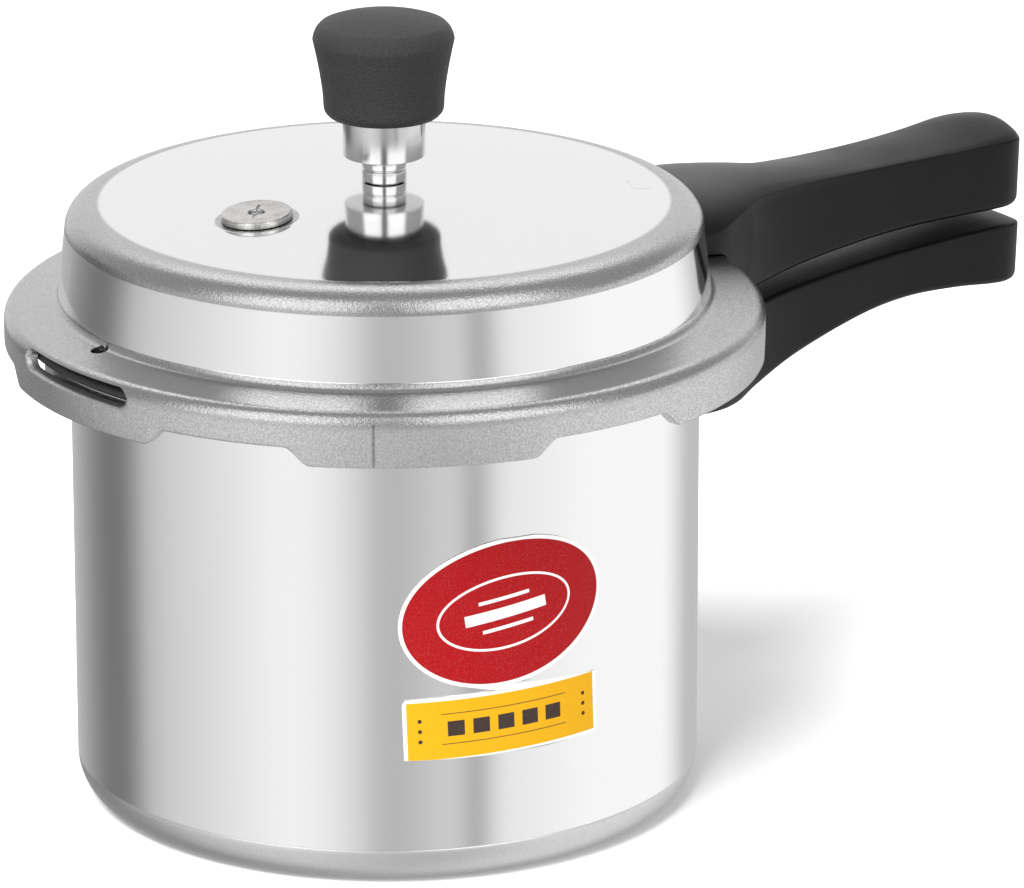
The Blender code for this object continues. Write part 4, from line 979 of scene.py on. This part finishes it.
def handleRows(steps):
    rows = [(panSizes["radius"] + row[0], *row[1:]) for row in handleSizes["root"]]
    rows += [(handleSizes["reach"] - row[0], *row[1:]) for row in handleSizes["grip"]]
    found, last = [], len(rows) - 1
    for n in range(last):
        around = rows[max(n - 1, 0)], rows[n], rows[n + 1], rows[min(n + 2, last)]
        for step in range(steps):
            t = step / steps
            row = []
            for a, b, c, d in zip(*around):
                bend = (2 * a - 5 * b + 4 * c - d) * t + (3 * b - a - 3 * c + d) * t * t
                row.append(b + (c - a + bend) * t / 2)
            found.append(row)
    return found + [list(rows[last])]


def handleRing(x, half, foot, side, crown):
    s = handleSizes
    edge, crease = s["edge"], s["crease"]
    low = arcOf((half - edge - s["sideSlope"], foot + edge), (edge, edge), -90.0, 0.0, 7)
    rise = side - crease - foot - edge
    sides = [(half - s["sideSlope"] * (1 - t), foot + edge + rise * t) for t in (0.25, 0.5, 0.75)]
    rimmed = arcOf((half - crease, side - crease), (crease, crease), 0.0, 70.0, 4)
    top = []
    for n in range(1, 12):
        share = (1 - n / 12) * (half - crease * 0.7) / half
        top.append((half * share, side + (crown - side) * (1 - share * share)))
    line = low + sides + rimmed + top
    flat = [(half * share * 0.6, foot) for share in (0.0, 0.5)]
    whole = flat + line + [(0.0, crown)] + [(-y, z) for y, z in reversed(line)] + [(-flat[1][0], foot)]
    return [(x, y, panRimTop + z) for y, z in whole]


def handlePiece(name, columns, cutters, body, node):
    rings = [handleRing(row[0], row[1], *columns(row)) for row in handleRows(7)]
    mesh = shapeFrom(name, rings)
    piece = newPiece(name, mesh)
    mesh.materials.append(handleBakelite)
    bevel = piece.modifiers.new("tipEdge", "BEVEL")
    bevel.width = 0.0012
    bevel.segments = 3
    bevel.limit_method = "ANGLE"
    bevel.angle_limit = math.radians(50.0)
    keepShape(piece)
    cutWith(piece, cutters, 32.0)
    finishPiece(piece, body, "bakelite", node)


def screwWells(distances, seat):
    wells = []
    for distance in distances:
        at = Matrix.Translation((panSizes["radius"] + distance, 0.0, 0.0))
        wells.append(placed(rodMesh(handleSizes["wellRadius"], 0.0, seat, 40), at))
    return wells


def makeHandles():
    s = handleSizes
    room = s["lidRoom"]
    lidSeat = [(0.0, lidTop), (wallRadius(lidTop) + room, lidTop), *lidOutside(room, 10)]
    lidSeat += [(skirtOuter + room, skirtFoot - sheet), (0.0, skirtFoot - sheet)]
    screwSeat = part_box("lid_handle_screw_1")[1].z - 0.0105
    lidCutters = [spunMesh("lidSeat", lidSeat, 240), *screwWells(s["lidScrews"], screwSeat)]
    handlePiece("lidHandle", lambda row: (row[2], row[3], row[4]), lidCutters, "lid", "lid_handle")
    sweepFoot, sweepRadius = skirtFoot - s["sweepRoom"], skirtOuter + s["sweepRoom"]
    wall = panSizes["radius"] + s["panRoom"]
    panSeat = [(0.0, flangeTop), (sweepRadius, flangeTop), (sweepRadius, sweepFoot)]
    panSeat += [(wall, sweepFoot), (wall, 0.0), (0.0, 0.0)]
    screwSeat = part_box("pan_handle_washer")[1].z
    panCutters = [spunMesh("panSeat", panSeat, 240), *screwWells(s["panScrews"], screwSeat)]
    handlePiece("panHandle", lambda row: (row[5], row[6] - 0.0004, row[6]), panCutters, "pan", "pan_handle")


makeHandles()
print("handles made")


def makeRivetTree():
    # puts one rivet on each place, turned as the place says
    inputs = {"places": "Geometry", "rivet": "Object", "finish": "Material"}
    tree, given, result = newTree("riveting", "GeometryNodeTree", inputs, {"rivets": "Geometry"})
    info = addNode(tree, "GeometryNodeObjectInfo", {"Object": given["rivet"]})
    turn = addNode(tree, "GeometryNodeInputNamedAttribute", {"Name": "turn"}, data_type="FLOAT_VECTOR")
    rotation = addNode(tree, "FunctionNodeEulerToRotation", {0: turn.outputs["Attribute"]}).outputs[0]
    fed = {"Points": given["places"], "Instance": info.outputs["Geometry"], "Rotation": rotation}
    return closeTree(tree, addNode(tree, "GeometryNodeInstanceOnPoints", fed).outputs[0], given, result)


rivetTree = makeRivetTree()
rivetSizes = {"radius": 0.0022, "head": 0.0030, "headHeight": 0.0012, "bracket": 0.0018, "play": 0.00015}


def makeRivets(name, spots, body):
    s = rivetSizes
    inner, outer = -sheet - gap - s["play"], 2 * gap + s["bracket"] + s["play"]
    section = [(0.0, outer + s["headHeight"])]
    section += arcOf((0.0, outer), (s["head"], s["headHeight"]), 80.0, 0.0, 8)
    section += [(s["radius"], outer), (s["radius"], inner)]
    section += arcOf((0.0, inner), (s["head"], s["headHeight"]), 0.0, -80.0, 8)
    section += [(0.0, inner - s["headHeight"])]
    original = turnedPiece(name + "Original", section, zincSteel, 32)
    mesh = bpy.data.meshes.new(name)
    mesh.from_pydata([spot.translation for spot in spots], [], [])
    turn = mesh.attributes.new("turn", "FLOAT_VECTOR", "POINT")
    for n, spot in enumerate(spots):
        turn.data[n].vector = spot.to_euler()
    rivets = newPiece(name, mesh)
    runTree(rivets, rivetTree, {"rivet": original, "finish": zincSteel})
    bpy.data.objects.remove(original)
    finishPiece(rivets, body, "bracket_steel", *[f"{body}_bracket_rivet_{n + 1}" for n in range(len(spots))])


makeRivets("panRivets", panRivetSpots(), "pan")
makeRivets("lidRivets", lidRivetSpots(), "lid")


# label: a thin printed sheet on the pan's wall, its print drawn on its own flat measure

labelSizes = {
    "azimuth": -104.0, "stand": 0.00025, "thickness": 0.00025, "corner": 0.0020, "border": 0.0011,
    "tilt": 0.15, "middle": 0.0786, "halfWidth": 0.0306, "halfHeight": 0.0212,
    "bandTilt": 0.035, "bandMiddle": 0.0466, "bandHalfWidth": 0.0292, "bandHalfHeight": 0.0096,
    "foot": 0.034, "top": 0.102, "reach": 0.0320, "rows": 120, "columns": 40,
    "red": (0.26, 0.001, 0.003, 1.0), "yellow": (0.52, 0.27, 0.0, 1.0), "white": (0.62, 0.62, 0.61, 1.0),
    "ink": (0.035, 0.022, 0.018, 1.0),
    "flatSize": 0.2,  # metres that the flat measure covers
    "printEdge": 0.0001,
    # plain bars inside the oval's ring and on the band: half width, half height, height of the middle
    "ringOuter": (0.0200, 0.0105), "ringInner": (0.0193, 0.0098),
    "ovalBars": ((0.0120, 0.0016, 0.0), (0.0075, 0.0005, 0.0042), (0.0075, 0.0005, -0.0042)),
    "bandLines": ((0.0185, 0.00012, 0.0046), (0.0185, 0.00012, -0.0042)),
    "squares": 5, "squarePitch": 0.0072, "square": (0.0024, 0.0022), "squareRise": 0.0002,
    "dot": 0.0006, "dotAcross": 0.0245, "dotRise": 0.0030,
}


def makeLabelPrint():
    s = labelSizes
    material, tree, place = startMaterial("labelPrint")
    flat = splitXyz(tree, addNode(tree, "ShaderNodeUVMap", uv_map="flat").outputs[0])
    across = minus(tree, times(tree, flat[0], s["flatSize"]), s["flatSize"] / 2)
    up = times(tree, flat[1], s["flatSize"])

    def leaned(tilt, middle):
        rise = minus(tree, up, middle)
        level, steep = math.cos(tilt), math.sin(tilt)
        u = plus(tree, times(tree, across, level), times(tree, rise, steep))
        return u, minus(tree, times(tree, rise, level), times(tree, across, steep))

    def squared(value, half):
        return calc(tree, "POWER", calc(tree, "ABSOLUTE", calc(tree, "DIVIDE", value, half)), 2.0)

    def oval(u, v, halfWidth, halfHeight):
        return fade(tree, plus(tree, squared(u, halfWidth), squared(v, halfHeight)), 0.99, 1.01, 1.0, 0.0)

    def strip(value, half, middle=0.0):
        away = calc(tree, "ABSOLUTE", minus(tree, value, middle))
        return fade(tree, away, half - s["printEdge"], half + s["printEdge"], 1.0, 0.0)

    def bar(u, v, halfWidth, halfHeight, rise=0.0, side=0.0):
        return times(tree, strip(u, halfWidth, side), strip(v, halfHeight, rise))

    border, tone, pale = s["border"], s["yellow"], s["white"]
    u, v = leaned(s["tilt"], s["middle"])
    red = oval(u, v, s["halfWidth"] - border, s["halfHeight"] - border)
    whole = oval(u, v, s["halfWidth"], s["halfHeight"])
    ring = minus(tree, oval(u, v, *s["ringOuter"]), oval(u, v, *s["ringInner"]))
    emblem = highest(tree, ring, *[bar(u, v, *row) for row in s["ovalBars"]])
    u, v = leaned(s["bandTilt"], s["bandMiddle"])
    yellow = bar(u, v, s["bandHalfWidth"] - border, s["bandHalfHeight"] - border)
    inked = [bar(u, v, *row) for row in s["bandLines"]]
    for n in range(s["squares"]):
        side = s["squarePitch"] * (n - (s["squares"] - 1) / 2)
        inked.append(bar(u, v, *s["square"], s["squareRise"], side))
    for side in (-s["dotAcross"], s["dotAcross"]):
        for rise in (-s["dotRise"], 0.0, s["dotRise"]):
            inked.append(oval(minus(tree, u, side), minus(tree, v, rise), s["dot"], s["dot"]))
    inkedPlace = times(tree, highest(tree, *inked), yellow)
    printed = blendColour(tree, yellow, pale, tone)
    layers = ((inkedPlace, s["ink"]), (whole, pale), (red, s["red"]), (times(tree, emblem, red), pale))
    for mask, shade in layers:
        printed = blendColour(tree, mask, printed, shade)
    skin = useEffect(tree, handledSkin, place, smudgeSize=0.012, markSize=0.003)
    paper = useEffect(tree, mouldedSkin, place, peelSize=0.0006, speckSize=0.00025)
    # pale specks in the paper: real wear, no painted light
    wearAndSheen = blendColour(tree, times(tree, paper["specks"], 0.06), printed, pale)
    roughness = plus(tree, 0.30, times(tree, skin["smudge"], 0.10))
    return finishMaterial(material, wearAndSheen, roughness, paper["height"], 0.00002, {"Specular IOR Level": 0.12})


def inLabel(u, z):
    # whether a spot lies inside the oval or the round-cornered band
    s = labelSizes

    def lean(tilt, middle):
        rise = z - middle
        return u * math.cos(tilt) + rise * math.sin(tilt), rise * math.cos(tilt) - u * math.sin(tilt)

    a, b = lean(s["tilt"], s["middle"])
    if (a / s["halfWidth"]) ** 2 + (b / s["halfHeight"]) ** 2 <= 1.0:
        return True
    a, b = lean(s["bandTilt"], s["bandMiddle"])
    a, b = abs(a) - (s["bandHalfWidth"] - s["corner"]), abs(b) - (s["bandHalfHeight"] - s["corner"])
    return math.hypot(max(a, 0.0), max(b, 0.0)) <= s["corner"]


def labelEdge(z, side, steps=600):
    # how far the label reaches to one side at this height
    tries = (side * labelSizes["reach"] * n / steps for n in range(steps, -1, -1))
    return next((u for u in tries if inLabel(u, z)), None)


def labelRows():
    s = labelSizes
    rows = []
    for n in range(s["rows"] + 1):
        z = s["foot"] + (s["top"] - s["foot"]) * n / s["rows"]
        left, right = labelEdge(z, -1), labelEdge(z, 1)
        if left is not None and right is not None and right - left >= 0.001:
            rows.append([(left + (right - left) * m / s["columns"], z) for m in range(s["columns"] + 1)])
    return rows


def makeLabel():
    s = labelSizes
    rows = labelRows()
    shape = bmesh.new()
    flat = shape.loops.layers.uv.new("flat")

    def sideAt(depth):
        wall, turn = panSizes["radius"], math.radians(s["azimuth"])
        reach = wall + s["stand"] + depth
        return [[(shape.verts.new(onRing(reach, turn + u / wall, z)), u, z) for u, z in row] for row in rows]

    def addFace(*corners):
        face = shape.faces.new([corner[0] for corner in corners])
        for loop, (_, u, z) in zip(face.loops, corners):
            loop[flat].uv = ((u + s["flatSize"] / 2) / s["flatSize"], z / s["flatSize"])

    back, front = sideAt(0.0), sideAt(s["thickness"])
    for low, high, lowBack, highBack in zip(front, front[1:], back, back[1:]):
        for n in range(s["columns"]):
            addFace(low[n], low[n + 1], high[n + 1], high[n])
            addFace(highBack[n], highBack[n + 1], lowBack[n + 1], lowBack[n])
        addFace(lowBack[0], low[0], high[0], highBack[0])
        addFace(low[-1], lowBack[-1], highBack[-1], high[-1])
    for n in range(s["columns"]):
        addFace(back[0][n], back[0][n + 1], front[0][n + 1], front[0][n])
        addFace(front[-1][n], front[-1][n + 1], back[-1][n + 1], back[-1][n])
    bmesh.ops.recalc_face_normals(shape, faces=shape.faces)
    mesh = meshOf(shape, "frontLabel")
    mesh.materials.append(makeLabelPrint())
    mesh.shade_smooth()
    sharpen(mesh, 40.0)
    finishPiece(newPiece("frontLabel", mesh), "pan", "label", "front_label")


makeLabel()
print("rivets and label made")


# CAD nodes that keep their shape

keptFinishes = {name: zincSteel for name in (
    "pan_bracket", "pan_handle_screw", "pan_handle_washer", "lid_bracket", "lid_handle_screw_1",
    "lid_handle_screw_2", "vent_washer", "safety_plug_washer", "weight_clip",
)}
keptFinishes.update(vent_nut=brassMetal, safety_plug_nut=brassMetal)
for name, finish in keptFinishes.items():
    nodes[name].data.materials.clear()
    nodes[name].data.materials.append(finish)


# floor, light and camera

studioLook = {
    "viewAzimuth": -35.5, "floorSize": 6.0, "floorShade": 0.93,
    "keyPower": 62.0, "keySize": 1.1, "keyPlace": (-0.85, -0.35, 1.60),
    # angle from the camera's side, right positive, and brightness there
    "walls": (
        (-180.0, 0.55), (-164.0, 0.52), (-144.0, 0.34), (-126.0, 0.17), (-113.0, 0.19), (-105.0, 0.33),
        (-98.0, 0.52), (-85.0, 0.66), (-68.0, 0.74), (-48.0, 0.90), (-34.0, 0.97), (-20.0, 0.86), (-10.0, 0.68),
        (-4.0, 0.53), (3.0, 0.48), (14.0, 0.58), (22.0, 0.66), (27.0, 0.60), (31.0, 0.43), (35.0, 0.47),
        (40.0, 0.76), (46.0, 0.87),
        (68.0, 0.95), (92.0, 1.06), (122.0, 1.04), (134.0, 0.78), (146.0, 0.50), (180.0, 0.55),
    ),
    "above": 0.45, "behind": 0.90, "behindHigh": 1.50, "box": 1.60, "boxInner": 9.0,
    "boxOuter": 62.0, "middleDark": 0.16,
}


def makeFloor():
    material, tree, place = startMaterial("floorPaper")
    shader = tree.nodes["Principled BSDF"]
    grain = noiseOf(tree, place["vector"], 900.0, 2.0)
    pale = studioLook["floorShade"]
    feed(tree, blendColour(tree, grain, grey(pale), grey(pale * 0.99)), shader.inputs["Base Color"])
    shader.inputs["Roughness"].default_value = 0.9
    shader.inputs["Specular IOR Level"].default_value = 0.0
    half = studioLook["floorSize"] / 2
    mesh = bpy.data.meshes.new("studioFloor")
    corners = [(-half, -half, 0.0), (half, -half, 0.0), (half, half, 0.0), (-half, half, 0.0)]
    mesh.from_pydata(corners, [], [(0, 1, 2, 3)])
    mesh.materials.append(material)
    floor = newPiece("studioFloor", mesh)
    floor.location.z = -0.0002
    floor.visible_glossy = False


def makeWorld():
    # a white room with soft upright panels round the object; the camera sees plain white
    s = studioLook
    world = bpy.data.worlds.new("studio")
    bpy.context.scene.world = world
    world.use_nodes = True
    tree = world.node_tree
    split = tree.nodes.new("ShaderNodeSeparateXYZ")
    feed(tree, tree.nodes.new("ShaderNodeTexCoord").outputs["Generated"], split.inputs[0])
    x, y, z = split.outputs
    turn = math.radians(s["viewAzimuth"])
    front = plus(tree, times(tree, x, math.sin(turn)), times(tree, y, -math.cos(turn)))
    right = plus(tree, times(tree, x, math.cos(turn)), times(tree, y, math.sin(turn)))
    angle = calc(tree, "DEGREES", calc(tree, "ARCTAN2", right, front))
    ramp = tree.nodes.new("ShaderNodeValToRGB")
    ramp.color_ramp.interpolation = "B_SPLINE"
    stops = ramp.color_ramp.elements
    for degrees, bright in s["walls"][1:-1]:
        stops.new((degrees + 180.0) / 360.0).color = (bright, bright, bright, 1.0)
    for stop, bright in ((stops[0], s["walls"][0][1]), (stops[-1], s["walls"][-1][1])):
        stop.color = (bright, bright, bright, 1.0)
    feed(tree, calc(tree, "DIVIDE", plus(tree, angle, 180.0), 360.0), ramp.inputs[0])
    height = calc(tree, "DEGREES", calc(tree, "ARCSINE", z))
    turned = calc(tree, "ABSOLUTE", angle)
    facing = within(tree, turned, s["boxInner"], s["boxOuter"], 5.0)
    level = within(tree, height, -40.0, 62.0, 6.0)
    box = times(tree, facing, level)
    dark = times(tree, fade(tree, turned, 5.0, 11.0, 1.0, 0.0), fade(tree, height, 55.0, 70.0, 1.0, 0.0))
    far = times(tree, fade(tree, turned, 128.0, 150.0), fade(tree, height, 60.0, 75.0, 1.0, 0.0))
    back = fade(tree, height, 32.0, 48.0, s["behind"] - s["above"], s["behindHigh"] - s["above"])
    upper = plus(tree, s["above"], times(tree, far, back))
    upper = plus(tree, upper, times(tree, box, s["box"] - s["above"]))
    upper = minus(tree, upper, times(tree, dark, s["above"] - s["middleDark"]))
    lowest = fade(tree, turned, 128.0, 150.0, 1.0, -15.0)
    raised = fade(tree, height, lowest, plus(tree, lowest, 8.0))
    low = times(tree, ramp.outputs[0], minus(tree, 1.0, raised))
    whole = plus(tree, low, times(tree, upper, raised))
    sight = tree.nodes.new("ShaderNodeLightPath").outputs["Is Camera Ray"]
    background = tree.nodes["Background"]
    feed(tree, blendColour(tree, sight, whole, (1.0, 1.0, 1.0, 1.0)), background.inputs["Color"])


def makeKeyLight():
    s = studioLook
    light = bpy.data.lights.new("keyLight", "AREA")
    light.energy = s["keyPower"]
    light.size = s["keySize"]
    lamp = bpy.data.objects.new("keyLight", light)
    bpy.context.scene.collection.objects.link(lamp)
    lamp.location = s["keyPlace"]
    lamp.rotation_euler = (Vector((0.0, 0.0, 0.06)) - lamp.location).to_track_quat("-Z", "Y").to_euler()
    lamp.visible_glossy = False


def makeCamera():
    camera = bpy.data.objects.new("camera", bpy.data.cameras.new("camera"))
    bpy.context.scene.collection.objects.link(camera)
    camera.data.sensor_width = 36.0
    camera.data.lens = 252.3287
    camera.data.clip_end = 50.0
    camera.location = (-1.125832, -1.578359, 0.736279)
    camera.rotation_euler = Vector((0.5659477, 0.7631624, -0.3119075)).to_track_quat("-Z", "Y").to_euler()
    bpy.context.scene.camera = camera


makeFloor()
makeWorld()
makeKeyLight()
makeCamera()
bpy.context.scene.view_settings.view_transform = "Standard"
print("studio made")
